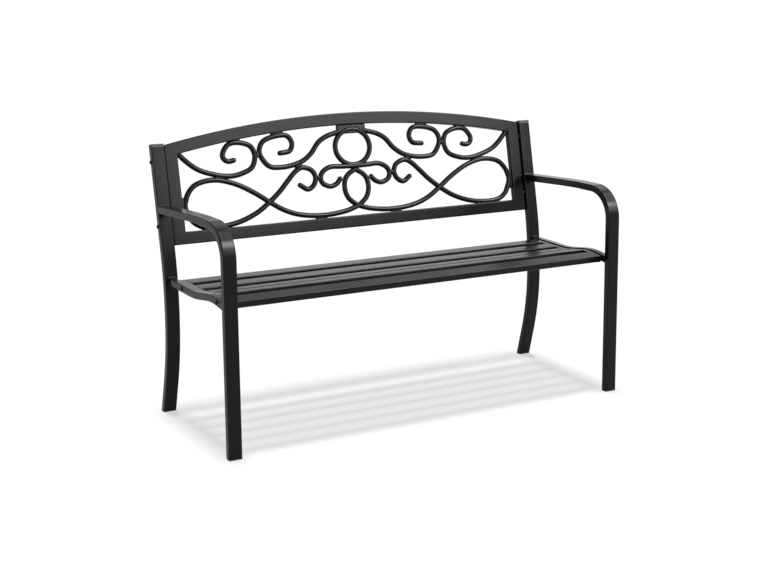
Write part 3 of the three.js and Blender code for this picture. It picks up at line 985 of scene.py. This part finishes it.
@dataclass
class SideLines:
    """The centrelines in the side plane, the same at both ends of the bench."""

    rake: float = 3.0
    arm_top: float = 0.608
    arm_bend: float = 0.085
    arm_crown: float = 1.700
    arm_fall: float = 4.5
    foot_spread: float = 0.436
    splay: float = 13.0
    lean: float = 13.8
    foot_run: float = 0.092
    low_bow: float = 0.690
    high_bow: float = 0.985
    top_run: float = 0.269
    support_height: float = 0.385
    support_rear: float = 0.150
    support_dish: float = 0.350
    support_rise: float = 9.5
    support_slope: float = 0.054
    support_crest: float = 0.220
    support_fall: float = 7.0
    support_front: float = 0.068
    leg: Walk = field(init=False)
    post: Walk = field(init=False)
    support: Walk = field(init=False)

    def __post_init__(self) -> None:
        """Draws the lines from the front foot's place in the frame."""
        half = FRAME_TUBE.in_plane / 2
        rake = math.radians(self.rake)
        foot = CAD_BOX[0].y + half / math.cos(rake)
        leg_run = (self.arm_top - half - self.arm_bend) / math.cos(rake) + self.arm_bend * math.tan(rake)
        self.leg = Walk(Station(foot, 0.0, QUARTER_TURN - rake))
        self.leg.straight(leg_run).bend(self.arm_bend, self.rake - 90)
        self.leg.bend(self.arm_crown, -self.arm_fall).straight(self.foot_spread)
        self.post = Walk(Station(foot + self.foot_spread, 0.0, QUARTER_TURN + math.radians(self.splay)))
        self.post.straight(self.foot_run).bend(self.low_bow, -self.splay)
        self.post.bend(self.high_bow, -self.lean).straight(self.top_run)
        joint = self.post.at(self.post.distance_where("second", self.support_height))
        self.support = Walk(Station(joint.first, self.support_height, math.pi))
        self.support.straight(self.support_rear).bend(self.support_dish, -self.support_rise)
        self.support.straight(self.support_slope)
        self.support.bend(self.support_crest, self.support_rise + self.support_fall)
        self.support.straight(self.support_front)


@dataclass
class SideFrame:
    """One end of the bench: rear post, armrest with front leg, seat support and three caps."""

    side: Side
    lines: SideLines
    weld: float = 0.0022
    spare: float = 0.02
    foot_base: float = 0.003
    foot_plug: float = 0.012
    foot_edge: float = 0.0012
    head_height: float = 0.009
    head_plug: float = 0.014
    head_edge: float = 0.0018
    head_steps: int = 4
    wall: float = 0.0015

    @property
    def plane(self) -> WorkPlane:
        """The side plane at this end."""
        low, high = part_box(f"rear_post_{self.side.word}")
        return WorkPlane(X_AXIS * (low.x + high.x) / 2, Y_AXIS, Z_AXIS)

    def face(self, line: Walk, height: float, towards: int) -> tuple[Vector, Vector]:
        """A frame tube's face where a joint lies.

        Args:
            line: the tube's centreline.
            height: the joint's height.
            towards: 1 for the face on the left of the line's heading, -1 for the other.

        Returns:
            A point on the face, and the direction into the tube.
        """
        here = line.at(line.distance_where("second", height))
        out = self.plane.direction(here.heading + towards * QUARTER_TURN)
        return self.plane.point(here.first, here.second) + out * FRAME_TUBE.in_plane / 2, -out

    def weld_end(self, mesh: Mesh, here: Station, along: Vector, face: tuple[Vector, Vector],
                 spread: tuple[float, float]) -> None:
        """Cuts a tube at the face of another one, with a weld fillet.

        Args:
            mesh: the tube.
            here: a station of its centreline near the face.
            along: the direction in which that station is moved onto the face.
            face: a point on the face, and the direction into the other tube.
            spread: how far the fillet spreads, along X and square to X.
        """
        point, into = face
        middle = self.plane.point(here.first, here.second)
        middle += along * (point - middle).dot(into) / along.dot(into)
        trim(mesh, middle, into, spread)

    def standing_tube(self, line: Walk, high: float) -> Mesh:
        """A frame tube that stands on its foot cap.

        Args:
            line: its centreline.
            high: the distance along the line where it ends.

        Returns:
            The tube.
        """
        mesh = FRAME_TUBE.run(self.plane, line.stations(-self.spare, high))
        trim(mesh, Z_AXIS * (self.foot_base + JOINT_GAP), -Z_AXIS)
        return mesh

    def build(self) -> None:
        """Makes the six pieces."""
        post = self.lines.post
        make_piece(f"rear_post_{self.side.word}", "tube", self.standing_tube(post, post.length))
        self.make_arm()
        self.make_support()
        self.make_foot(f"rear_foot_cap_{self.side.word}", post)
        self.make_foot(f"front_foot_cap_{self.side.word}", self.lines.leg)
        self.make_post_cap()

    def make_arm(self) -> None:
        """Makes the armrest and front leg, one bent tube welded to the post."""
        line = self.lines.leg
        height = line.at(line.length - self.lines.foot_spread / 2).second
        point, into = self.face(self.lines.post, height, 1)
        end = line.distance_where("first", point.y)
        mesh = self.standing_tube(line, end + FRAME_TUBE.in_plane)
        self.weld_end(mesh, line.at(end), into, (point, into), (0.0, self.weld))
        make_piece(f"arm_and_front_leg_{self.side.word}", "tube", mesh)

    def make_support(self) -> None:
        """Makes the seat support, welded to the post and the leg."""
        line = self.lines.support
        low_end = line.length + self.spare
        mesh = SUPPORT_TUBE.run(self.plane, line.stations(0.0, low_end + 2 * self.spare))
        post_face = self.face(self.lines.post, self.lines.support_height, 1)
        leg_face = self.face(self.lines.leg, line.at(low_end).second, -1)
        for face, distance in ((post_face, 0.0), (leg_face, low_end)):
            here = line.at(distance)
            self.weld_end(mesh, here, self.plane.direction(here.heading), face, (self.weld, self.weld))
        make_piece(f"seat_support_{self.side.word}", "tube", mesh)

    def make_foot(self, node: str, line: Walk) -> None:
        """Makes a foot cap: a base under the slanting tube end and a plug up inside it.

        Args:
            node: the node's name.
            line: the centreline of the tube.
        """
        start = self.plane.point(line.at(0).first, 0.0)
        reach = line.stations(-self.spare, 2 * self.spare)
        base = FRAME_TUBE.run(self.plane, reach)
        trim(base, start + Z_AXIS * self.foot_base, Z_AXIS)
        trim(base, start, -Z_AXIS)
        soften(base, edges_in_plane(base, start, Z_AXIS), self.foot_edge)
        plug = FRAME_TUBE.smaller(self.wall).run(self.plane, reach)
        trim(plug, start + Z_AXIS * (self.foot_base + self.foot_plug), Z_AXIS)
        trim(plug, start + Z_AXIS * self.foot_base / 2, -Z_AXIS)
        make_piece(node, "moulding", join_meshes(base, plug), Finish.PLASTIC)

    def make_post_cap(self) -> None:
        """Makes the cap that closes the post, flush with its faces."""
        line = self.lines.post
        low = line.length + JOINT_GAP
        high = low + self.head_height
        head = FRAME_TUBE.run(self.plane, line.stations(low, high))
        top = line.at(high)
        crown = self.plane.point(top.first, top.second)
        rim = edges_in_plane(head, crown, self.plane.direction(top.heading))
        soften(head, rim, self.head_edge, self.head_steps)
        reach = line.stations(line.length - self.head_plug, low + self.head_height / 2)
        plug = FRAME_TUBE.smaller(self.wall).run(self.plane, reach)
        make_piece(f"post_cap_{self.side.word}", "moulding", join_meshes(head, plug), Finish.PLASTIC)


@dataclass
class Fastener:
    """A button-headed bolt with a hexagon socket, and the threaded insert that it screws into."""

    shank: float = 0.006
    chamfer: float = 0.0006
    head: float = 0.011
    head_height: float = 0.0033
    head_skirt: float = 0.0008
    head_steps: int = 6
    crown_share: float = 0.75
    socket: float = 0.004
    socket_depth: float = 0.0019
    barrel: float = 0.008
    barrel_length: float = 0.011
    flange: float = 0.011
    flange_height: float = 0.001
    bore: float = 0.0066
    thread_count: int = 10
    thread_pitch: float = 0.001
    edge: float = 0.0002

    def make_all(self, *stems: str) -> None:
        """Makes bolts and their inserts, at both ends of the bench.

        Args:
            *stems: which of the bench's bolts they are, as in `seat_rear`.
        """
        for stem in stems:
            for side in Side:
                node = f"{stem}_bolt_{side.word}"
                low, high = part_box(node)
                self.put(self.bolt(high.x - low.x), node, side, Finish.BLACK_BOLT)
                self.put(self.insert(), f"{stem}_insert_{side.word}", side, Finish.ZINC)

    def put(self, mesh: Mesh, node: str, side: Side, finish: Finish) -> None:
        """Puts a mesh in a node's place, with Z outwards and the node's outer face at 0.

        Args:
            mesh: the bolt or the insert.
            node: the node's name.
            side: the end of the bench.
            finish: the piece's finish.
        """
        low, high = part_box(node)
        x = high.x if side is Side.RIGHT else low.x
        middle = Vector((x, (low.y + high.y) / 2, (low.z + high.z) / 2))
        place = Matrix.Translation(middle) @ Matrix.Rotation(side.value * QUARTER_TURN, 4, "Y")
        bmesh.ops.transform(mesh, matrix=place, verts=mesh.verts[:])
        make_piece(node, "steel", mesh, finish)

    def bolt(self, length: float) -> Mesh:
        """Spins a bolt, the top of its head at 0.

        Args:
            length: its whole length.

        Returns:
            The bolt, its head uppermost.
        """
        radius = self.head / 2
        crown = self.socket * self.crown_share
        seat = -self.head_height
        skirt = seat + self.head_skirt
        dome = [
            (crown + (radius - crown) * math.sin(angle), skirt * (1 - math.cos(angle)))
            for angle in (0.0, *quarter_turn(self.head_steps))
        ]
        shank = self.shank / 2
        mesh = lathe([
            *dome, (radius, seat + self.edge), (radius - self.edge, seat), (shank, seat),
            (shank, self.chamfer - length), (shank - self.chamfer, -length), (0, -length),
        ])
        rim = [edge for edge in mesh.edges if edge.is_boundary]
        point = self.socket / math.sqrt(3)
        hexagon = bmesh.ops.create_circle(mesh, cap_ends=False, segments=6, radius=point)
        mouth = list({edge for vert in hexagon["verts"] for edge in vert.link_edges})
        bmesh.ops.bridge_loops(mesh, edges=rim + mouth)
        cap_ring(mesh, grow_ring(mesh, mouth, Matrix.Translation((0, 0, -self.socket_depth))))
        return mesh

    def insert(self) -> Mesh:
        """Spins a threaded insert with a shallow thread, its flange's face at 0.

        Returns:
            The insert, its flange uppermost.
        """
        edge = self.edge
        bore = self.bore / 2
        barrel = self.barrel / 2
        flange = self.flange / 2
        low = -self.flange_height - self.barrel_length
        ridges = []
        for index in range(1, self.thread_count + 1):
            height = low + index * self.thread_pitch
            ridges += [(bore, height), (bore - edge, height + self.thread_pitch / 2)]
        # The first ridge rises from the insert's end, so its own foot is left out.
        return lathe([
            (bore, low), *ridges[1:], (bore, -edge), (bore + edge, 0), (flange - edge, 0), (flange, -edge),
            (flange, -self.flange_height), (barrel, -self.flange_height), (barrel, low + edge),
            (barrel - edge, low), (bore, low),
        ])


@dataclass
class Seat:
    """Slats welded between two dished end bars."""

    lines: SideLines
    slat: Stock = Stock(across=0.044, in_plane=0.019, corner=0.0025)
    end_bar: Stock = Stock(across=0.016, in_plane=0.019, corner=0.0025)
    end_edge: float = 0.001
    slat_count: int = 5
    pitch: float = 0.0695
    first_run: float = 0.055
    drop: float = 0.0025

    def build(self) -> None:
        """Makes the end bars, the slats and the bolts."""
        half_width = self.slat.across / 2
        last_run = self.first_run + (self.slat_count - 1) * self.pitch
        reach = self.lines.support.stretch(self.first_run - half_width, last_run + half_width)
        for side in Side:
            node = f"seat_end_bar_{side.word}"
            low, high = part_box(node)
            plane = WorkPlane(Vector(((low.x + high.x) / 2, 0, -self.drop)), Y_AXIS, Z_AXIS)
            mesh = self.end_bar.run(plane, reach.stations(0, reach.length))
            ends = sorted(mesh.faces, key=lambda face: len(face.verts))[-2:]
            soften(mesh, list({edge for face in ends for edge in face.edges}), self.end_edge)
            make_piece(node, "tube", mesh)
        for index in range(self.slat_count):
            self.make_slat(index)
        Fastener().make_all("seat_rear", "seat_front")

    def make_slat(self, index: int) -> None:
        """Makes one slat.

        Args:
            index: its place in the row, counted from the back.
        """
        here = self.lines.support.at(self.first_run + index * self.pitch)
        tilt = here.heading - math.pi
        along = Vector((0, math.cos(tilt), math.sin(tilt)))
        middle = Vector((0, here.first, here.second - self.drop))
        plane = WorkPlane(middle, X_AXIS, along.cross(-X_AXIS))
        node = f"seat_slat_{index + 1}"
        low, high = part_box(node)
        length = high.x - low.x + 2 * JOINT_GAP
        line = Walk(Station(low.x - JOINT_GAP, 0.0, 0.0)).straight(length)
        make_piece(node, "tube", self.slat.run(plane, line.stations(0, length)), Finish.SEAT_COAT)


Place = tuple[float, float]
FAIRING_PASSES = 12
FAIRING_IN = 0.6
FAIRING_OUT = -0.62


@dataclass(frozen=True)
class Lug:
    """A welded web between bars, in the back's plane; its sizes are in metres."""

    place: Place
    width: float
    height: float


@dataclass(frozen=True)
class Bar:
    """A round bar along a smooth curve through places, with its lugs.

    Places are in hundredths: across from the middle to the stile, and up from the lap on the
    bottom rail to the lap on the top rail. `tips` tells whether the start and the end are free.
    """

    places: tuple[Place, ...]
    tips: tuple[bool, bool] = (False, False)
    lugs: tuple[Lug, ...] = ()


@dataclass(frozen=True)
class Scrollwork:
    """The right-hand half of the pattern."""

    outer: Bar = Bar(
        (
            (101, 85.5), (98, 77), (90, 63), (80, 55.5), (72, 53.1), (65, 55.3), (59.4, 61), (57.4, 73),
            (59.5, 82.6), (67, 87.3), (72, 85.2), (75.3, 75), (74.2, 70), (72, 68.3), (69.4, 69.2),
        ),
        (False, True),
        (Lug((68.5, 90), 0.040, 0.012), Lug((78.3, 52.3), 0.030, 0.012), Lug((56, 73), 0.012, 0.016)),
    )
    inner: Bar = Bar(
        (
            (7, 92), (10, 90.4), (15, 87.6), (20, 82), (25, 70.7), (30, 63.6), (35, 60.2), (43, 58.2),
            (50, 60.5), (54.6, 75), (52.5, 85.7), (45, 91.2), (38, 90.7), (35.6, 83), (37.1, 75.2),
            (43, 73.1),
        ),
        (False, True),
        (Lug((43.8, 94.6), 0.040, 0.012), Lug((33.3, 58.5), 0.024, 0.014)),
    )
    curl: Bar = Bar(
        (
            (33.3, 37.8), (29, 32.8), (25.4, 36.7), (23.9, 44.2), (25.5, 52), (31, 56.3), (35, 53),
            (40, 43.8), (45, 33.8), (51.8, 22.9), (60, 12.5), (71, 4.7), (83, 2.2), (91, 4.4),
            (95.5, 11.2), (98.3, 25), (97.1, 35),
        ),
        (True, False),
        (Lug((99.6, 24.5), 0.012, 0.058), Lug((82.7, 0), 0.088, 0.010)),
    )
    loop_top: Bar = Bar((
        (95.5, 11.2), (98.3, 25), (97.1, 35), (93.2, 45), (88, 49.3), (80, 50.2), (70, 44.7),
        (60, 34.1), (51.8, 22.9),
    ))
    valley: Bar = Bar(
        ((51.8, 22.9), (45, 14.3), (38, 8.4), (30, 5), (22, 3.8), (14, 4.5), (6, 7), (0, 10.8)),
        lugs=(Lug((22.8, 1.5), 0.038, 0.010),),
    )
    teardrop: Bar = Bar(
        ((0, 10), (5.6, 20), (7.2, 30), (6.4, 40), (4.2, 45.3), (0, 50.3)),
        lugs=(Lug((8, 40.3), 0.010, 0.007),),
    )
    moustache: Bar = Bar(
        (
            (9.5, 41), (11.3, 36.8), (15, 33.9), (18, 35.2), (20.2, 38.3), (20.9, 44.2),
            (19.5, 49.7), (15, 54.4), (8, 54.3), (0, 53.8),
        ),
        (True, False),
        (Lug((22.4, 44.4), 0.014, 0.010),),
    )
    ring_side: float = 10.4
    ring_foot: float = 55.3
    ring_top: float = 93.7


@dataclass
class Back:
    """The leaning back: a mitred frame of tube round mirrored scrollwork of round bar."""

    lines: SideLines
    setback: float = 0.008
    below_top: float = 0.2365
    crown: float = 0.2675
    arch_radius: float = 2.960
    arch_step: float = math.radians(0.5)
    lap_low: float = 0.0015
    lap_high: float = 0.0035
    bar: float = 0.0155
    bar_step: float = 0.0035
    ring_steps: int = 96
    lug_depth: float = 0.010
    lug_roundness: float = 0.42
    plate_width: float = 0.096
    plate_height: float = 0.0265
    plate_corner: float = 0.003

    @property
    def half_width(self) -> float:
        """Half the width of the frame."""
        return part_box("back_stile_right")[1].x

    @property
    def open_half(self) -> float:
        """Half the width of the opening."""
        return self.half_width - STILE_TUBE.in_plane

    @property
    def plane(self) -> WorkPlane:
        """The back's plane, from the top edge of its bottom rail."""
        post = self.lines.post
        here = post.at(post.length - self.below_top)
        along = Vector((0, math.cos(here.heading), math.sin(here.heading)))
        behind = X_AXIS.cross(along) * -1
        return WorkPlane(Vector((0, here.first, here.second)) + behind * self.setback, X_AXIS, along)

    def arch_at(self, x: float, radius: float) -> float:
        """The height of an arch of the top rail at a place along the bench."""
        return self.crown + RAIL_TUBE.in_plane - self.arch_radius + math.sqrt(radius * radius - x * x)

    def build(self) -> None:
        """Makes the frame, the scrollwork and the bolts."""
        self.make_frame()
        self.make_scrolls()
        Fastener().make_all("back_lower", "back_upper")

    def mitre(self, mesh: Mesh, heights: tuple[float, float], side: Side, above: bool) -> None:
        """Cuts a mitre at a corner of the frame.

        Args:
            mesh: the rail or stile.
            heights: the heights of the opening's corner and of the frame's corner.
            side: the end of the bench.
            above: whether what lies above the mitre goes.
        """
        plane = self.plane
        inner, outer = heights
        corner = plane.point(side.value * self.open_half, inner)
        slope = plane.point(side.value * self.half_width, outer) - corner
        upwards = slope.cross(plane.normal) * -side.value
        upwards.normalize()
        outward = upwards if above else -upwards
        trim(mesh, corner - outward * JOINT_GAP / 2, outward)

    def make_frame(self) -> None:
        """Makes the rails and the stiles."""
        plane = self.plane
        tall = RAIL_TUBE.in_plane
        middle = self.arch_radius - tall / 2
        reach = self.half_width + tall
        half_turn = math.asin(reach / middle)
        arch = Walk(Station(-reach, self.arch_at(reach, middle), half_turn))
        arch.bend(middle, -2 * math.degrees(half_turn))
        top = RAIL_TUBE.run(plane, arch.stations(0, arch.length, self.arch_step))
        low = Walk(Station(-reach, -tall / 2, 0.0)).straight(2 * reach)
        bottom = RAIL_TUBE.run(plane, low.stations(0, low.length))
        outer_top = self.arch_at(self.half_width, self.arch_radius)
        high_corner = (self.arch_at(self.open_half, self.arch_radius - tall), outer_top)
        low_corner = (0.0, -tall)
        for side in Side:
            self.mitre(top, high_corner, side, False)
            self.mitre(bottom, low_corner, side, True)
            x = side.value * (self.half_width - STILE_TUBE.in_plane / 2)
            line = Walk(Station(x, -2 * tall, QUARTER_TURN)).straight(outer_top + 3 * tall)
            stile = STILE_TUBE.run(plane, line.stations(0, line.length))
            self.mitre(stile, high_corner, side, True)
            self.mitre(stile, low_corner, side, False)
            make_piece(f"back_stile_{side.word}", "tube", stile)
        make_piece("back_top_rail", "tube", top)
        make_piece("back_bottom_rail", "tube", bottom)

    def fit(self, place: Place) -> Place:
        """A place in hundredths of the pattern, as metres in the back's plane."""
        tall = self.lap_low + self.crown + self.lap_high
        return place[0] * self.open_half / 100, place[1] * tall / 100 - self.lap_low

    def round_bar(self, bar: Bar) -> Mesh:
        """Sweeps a bar of the scrollwork, without its lugs.

        Args:
            bar: the bar.

        Returns:
            Its mesh.
        """
        mesh = round_section(self.bar)
        stations = smooth_stations([self.fit(place) for place in bar.places], self.bar_step)
        sweep(mesh, self.plane, stations, bar.tips, self.bar / 2)
        return mesh

    def web(self, lug: Lug) -> Mesh:
        """Makes a lug.

        Args:
            lug: the lug.

        Returns:
            It as a rounded block.
        """
        size = (self.lug_depth, lug.width, lug.height)
        here = self.plane.matrix(Station(*self.fit(lug.place), QUARTER_TURN))
        return rounded_block(size, min(size) * self.lug_roundness, here)

    def welded(self, *bars: Bar) -> Mesh:
        """Bars of the scrollwork and their lugs, as one mesh."""
        webs = [self.web(lug) for bar in bars for lug in bar.lugs]
        return join_meshes(*map(self.round_bar, bars), *webs)

    def make_scrolls(self) -> None:
        """Makes the scrollwork."""
        bars = Scrollwork()
        pairs = {
            "outer_scroll": (bars.outer,), "inner_scroll": (bars.inner,),
            "curl_bar": (bars.curl, bars.loop_top), "valley_bar": (bars.valley,),
        }
        for name, parts in pairs.items():
            mesh = self.welded(*parts)
            make_piece(f"{name}_left", "bar", mirrored(mesh))
            make_piece(f"{name}_right", "bar", mesh)
        for name, bar in (("moustache_bar", bars.moustache), ("teardrop", bars.teardrop)):
            mesh = self.welded(bar)
            make_piece(name, "steel", join_meshes(mesh, mirrored(mesh)))
        make_piece("ring", "steel", self.ring(bars))
        size = (self.lug_depth, self.plate_width, self.plate_height)
        here = self.plane.matrix(Station(0.0, self.crown - self.plate_height / 2, QUARTER_TURN))
        make_piece("crown_plate", "steel", rounded_block(size, self.plate_corner, here))

    def ring(self, bars: Scrollwork) -> Mesh:
        """The oval ring under the crown.

        Args:
            bars: the pattern.

        Returns:
            The ring.
        """
        side, foot = self.fit((bars.ring_side, bars.ring_foot))
        _, top = self.fit((0, bars.ring_top))
        middle = (foot + top) / 2
        tall = (top - foot) / 2
        stations = []
        for index in range(self.ring_steps + 1):
            angle = FULL_TURN * index / self.ring_steps
            heading = math.atan2(tall * math.cos(angle), -side * math.sin(angle))
            stations.append(Station(side * math.cos(angle), middle + tall * math.sin(angle), heading))
        mesh = round_section(self.bar)
        drag(mesh, self.plane, stations)
        bmesh.ops.remove_doubles(mesh, verts=mesh.verts[:], dist=SEAM)
        return mesh


def curve_step(knots: Sequence[Vector], step: float) -> list[Vector]:
    """Points from the second of four knots up to the third, on a centripetal Catmull-Rom curve.

    Args:
        knots: four places in a row.
        step: about how far apart the points lie.

    Returns:
        The points, without the third knot itself.
    """
    gaps = [math.sqrt((end - start).length) for start, end in zip(knots, knots[1:])]
    slopes = [(end - start) / gap for start, end, gap in zip(knots, knots[1:], gaps)]
    jump = knots[2] - knots[1]
    first = (slopes[0] - (knots[2] - knots[0]) / (gaps[0] + gaps[1]) + slopes[1]) * gaps[1]
    last = (slopes[1] - (knots[3] - knots[1]) / (gaps[1] + gaps[2]) + slopes[2]) * gaps[1]
    count = max(2, math.ceil(jump.length / step))
    points = []
    for tick in range(count):
        t = tick / count
        bow = t * first + t * t * (3 * jump - 2 * first - last)
        points.append(knots[1] + bow + t**3 * (first + last - 2 * jump))
    return points


def relaxed(points: Sequence[Vector], share: float) -> list[Vector]:
    """Moves points towards the middle of their neighbours.

    Args:
        points: the points, whose two ends stay.
        share: how much of the way they go; it is negative to move them away.

    Returns:
        The points moved.
    """
    inner = [
        here + share * ((before + after) / 2 - here)
        for before, here, after in zip(points, points[1:], points[2:])
    ]
    return [points[0], *inner, points[-1]]


def smooth_stations(places: Sequence[Place], step: float) -> list[Station]:
    """Stations along a fair curve through places.

    Args:
        places: the places, in metres.
        step: about how far apart the stations lie.

    Returns:
        The stations, with the curve's own headings.
    """
    knots = [Vector(place) for place in places]
    knots = [2 * knots[0] - knots[1], *knots, 2 * knots[-1] - knots[-2]]
    points = []
    for index in range(len(knots) - 3):
        points += curve_step(knots[index : index + 4], step)
    points.append(knots[-2])
    for _ in range(FAIRING_PASSES):
        points = relaxed(relaxed(points, FAIRING_IN), FAIRING_OUT)
    slopes = [after - before for before, after in zip([points[0], *points], [*points[1:], points[-1]])]
    return [Station(*point, math.atan2(slope.y, slope.x)) for point, slope in zip(points, slopes)]


# ---------------------------------------------------------------- the stage


@dataclass(frozen=True)
class Camera:
    """A camera with a short telephoto lens."""

    place: tuple[float, float, float] = (-2.121, -3.5004, 1.361)
    view: tuple[float, float, float] = (0.4986, 0.8315, -0.2448)
    roll: float = 1.07
    lens: float = 68.67
    sensor: float = 36.0
    far: float = 200.0

    def build(self) -> None:
        """Adds the camera and makes it the scene's."""
        data = bpy.data.cameras.new("camera")
        data.lens = self.lens
        data.sensor_width = self.sensor
        data.clip_end = self.far
        view = Vector(self.view).normalized()
        right = view.cross(Z_AXIS).normalized()
        axes = Matrix((right, right.cross(view), -view)).transposed().to_4x4()
        roll = Matrix.Rotation(math.radians(self.roll), 4, "Z")
        camera = add_object("camera", data)
        camera.matrix_world = Matrix.Translation(self.place) @ axes @ roll
        bpy.context.scene.camera = camera


def add_light(data: bpy.types.Light, place: Vector, back: Vector, lit: bpy.types.Collection) -> None:
    """Adds a light.

    Args:
        data: what kind of light it is.
        place: where it stands.
        back: the direction that it turns its back to.
        lit: what it lights or leaves out.
    """
    light = add_object(data.name, data)
    light.matrix_world = Matrix.Translation(place) @ back.to_track_quat("Z", "Y").to_matrix().to_4x4()
    light.visible_camera = False
    light.light_linking.receiver_collection = lit


@dataclass(frozen=True)
class Lamp:
    """A far, soft lamp that lights everything evenly."""

    name: str
    towards: tuple[float, float, float]
    strength: float
    spread: float
    distance: float = 6.0

    def build(self, lit: bpy.types.Collection) -> None:
        """Adds the lamp.

        Args:
            lit: what it lights or leaves out.
        """
        data = bpy.data.lights.new(self.name, "SUN")
        data.energy = self.strength
        data.angle = self.spread
        place = Vector(self.towards).normalized() * self.distance
        add_light(data, place, place, lit)


@dataclass(frozen=True)
class Panel:
    """A soft box that stands near the bench."""

    name: str
    place: tuple[float, float, float]
    target: tuple[float, float, float]
    size: tuple[float, float]
    power: float

    def build(self, lit: bpy.types.Collection) -> None:
        """Adds the panel.

        Args:
            lit: what it lights or leaves out.
        """
        data = bpy.data.lights.new(self.name, "AREA")
        data.shape = "RECTANGLE"
        data.size, data.size_y = self.size
        data.energy = self.power
        place = Vector(self.place)
        add_light(data, place, place - Vector(self.target), lit)


@dataclass(frozen=True)
class Studio:
    """A white studio: a dim even surround, soft lamps on the bench and one on the pale floor."""

    surround: float = 0.1
    lamps: tuple[Lamp, ...] = (
        Lamp("key", (0.4986, -0.58, 0.65), 2.9, 0.32),
        Lamp("high_right", (0.4986, -0.15, 0.85), 0.95, 0.6),
        Lamp("high_behind", (0.4986, 0.4797, 0.722), 0.3, 0.5),
        Lamp("low_behind", (0.4986, 0.82, 0.26), 0.05, 0.28),
        Lamp("left_rim", (-0.84, -0.47, 0.12), 0.6, 0.35),
    )
    panel: Panel = Panel("low_front", (0.9, -1.5, 1.42), (-0.1, 0.2, 0.75), (1.6, 0.85), 27.0)
    floor_lamp: Lamp = Lamp("overhead", (0, 0.075, 1), 3.5, 0.17)
    floor_shade: float = 0.9
    floor_glow: float = 0.62
    floor_size: float = 120.0

    def build(self) -> None:
        """Adds the surround, the lamps and the floor."""
        bpy.context.scene.view_settings.view_transform = "Standard"
        self.make_surround()
        floor = self.make_floor()
        self.floor_lamp.build(self.group("floor_only", floor, "INCLUDE"))
        bench_only = self.group("bench_only", floor, "EXCLUDE")
        for lamp in (*self.lamps, self.panel):
            lamp.build(bench_only)

    def make_surround(self) -> None:
        """Makes the surround: white to the eye and in reflections, and dim as a light."""
        world = bpy.data.worlds.new("surround")
        world.use_nodes = True
        tree = world.node_tree
        background = tree.nodes["Background"]
        feed(tree, background.inputs["Color"], (1, 1, 1, 1))
        feed(tree, background.inputs["Strength"], seen_share(tree) * (1 - self.surround) + self.surround)
        bpy.context.scene.world = world

    @staticmethod
    def group(name: str, floor: bpy.types.Object, state: str) -> bpy.types.Collection:
        """Makes a collection that tells a lamp what to do with the floor.

        Args:
            name: the collection's name.
            floor: the floor.
            state: INCLUDE to light it alone, or EXCLUDE to leave it out.

        Returns:
            The collection.
        """
        made = bpy.data.collections.new(name)
        made.objects.link(floor)
        made.collection_objects[0].light_linking.link_state = state
        return made

    def make_floor(self) -> bpy.types.Object:
        """Makes the floor: white to the eye and in reflections, pale to the light it catches.

        Returns:
            The floor.
        """
        mesh = bmesh.new()
        bmesh.ops.create_grid(mesh, x_segments=1, y_segments=1, size=self.floor_size / 2)
        data = mesh_data("studio_floor", mesh)
        shading = Shading("pale_floor")
        colour = (self.floor_shade,) * 3 + (1,)
        data.materials.append(shading.finish(Base_Color=colour, Roughness=1.0, Specular_IOR_Level=0.0))
        shading.glow(self.floor_glow)
        floor = add_object("studio_floor", data)
        return floor


def main() -> None:
    """Builds the bench and its studio."""
    logging.basicConfig(level=logging.INFO, format="%(name)s: %(message)s")
    lines = SideLines()
    for side in Side:
        SideFrame(side, lines).build()
    Seat(lines).build()
    Back(lines).build()
    Camera().build()
    Studio().build()


if __name__ == "__main__":
    main()
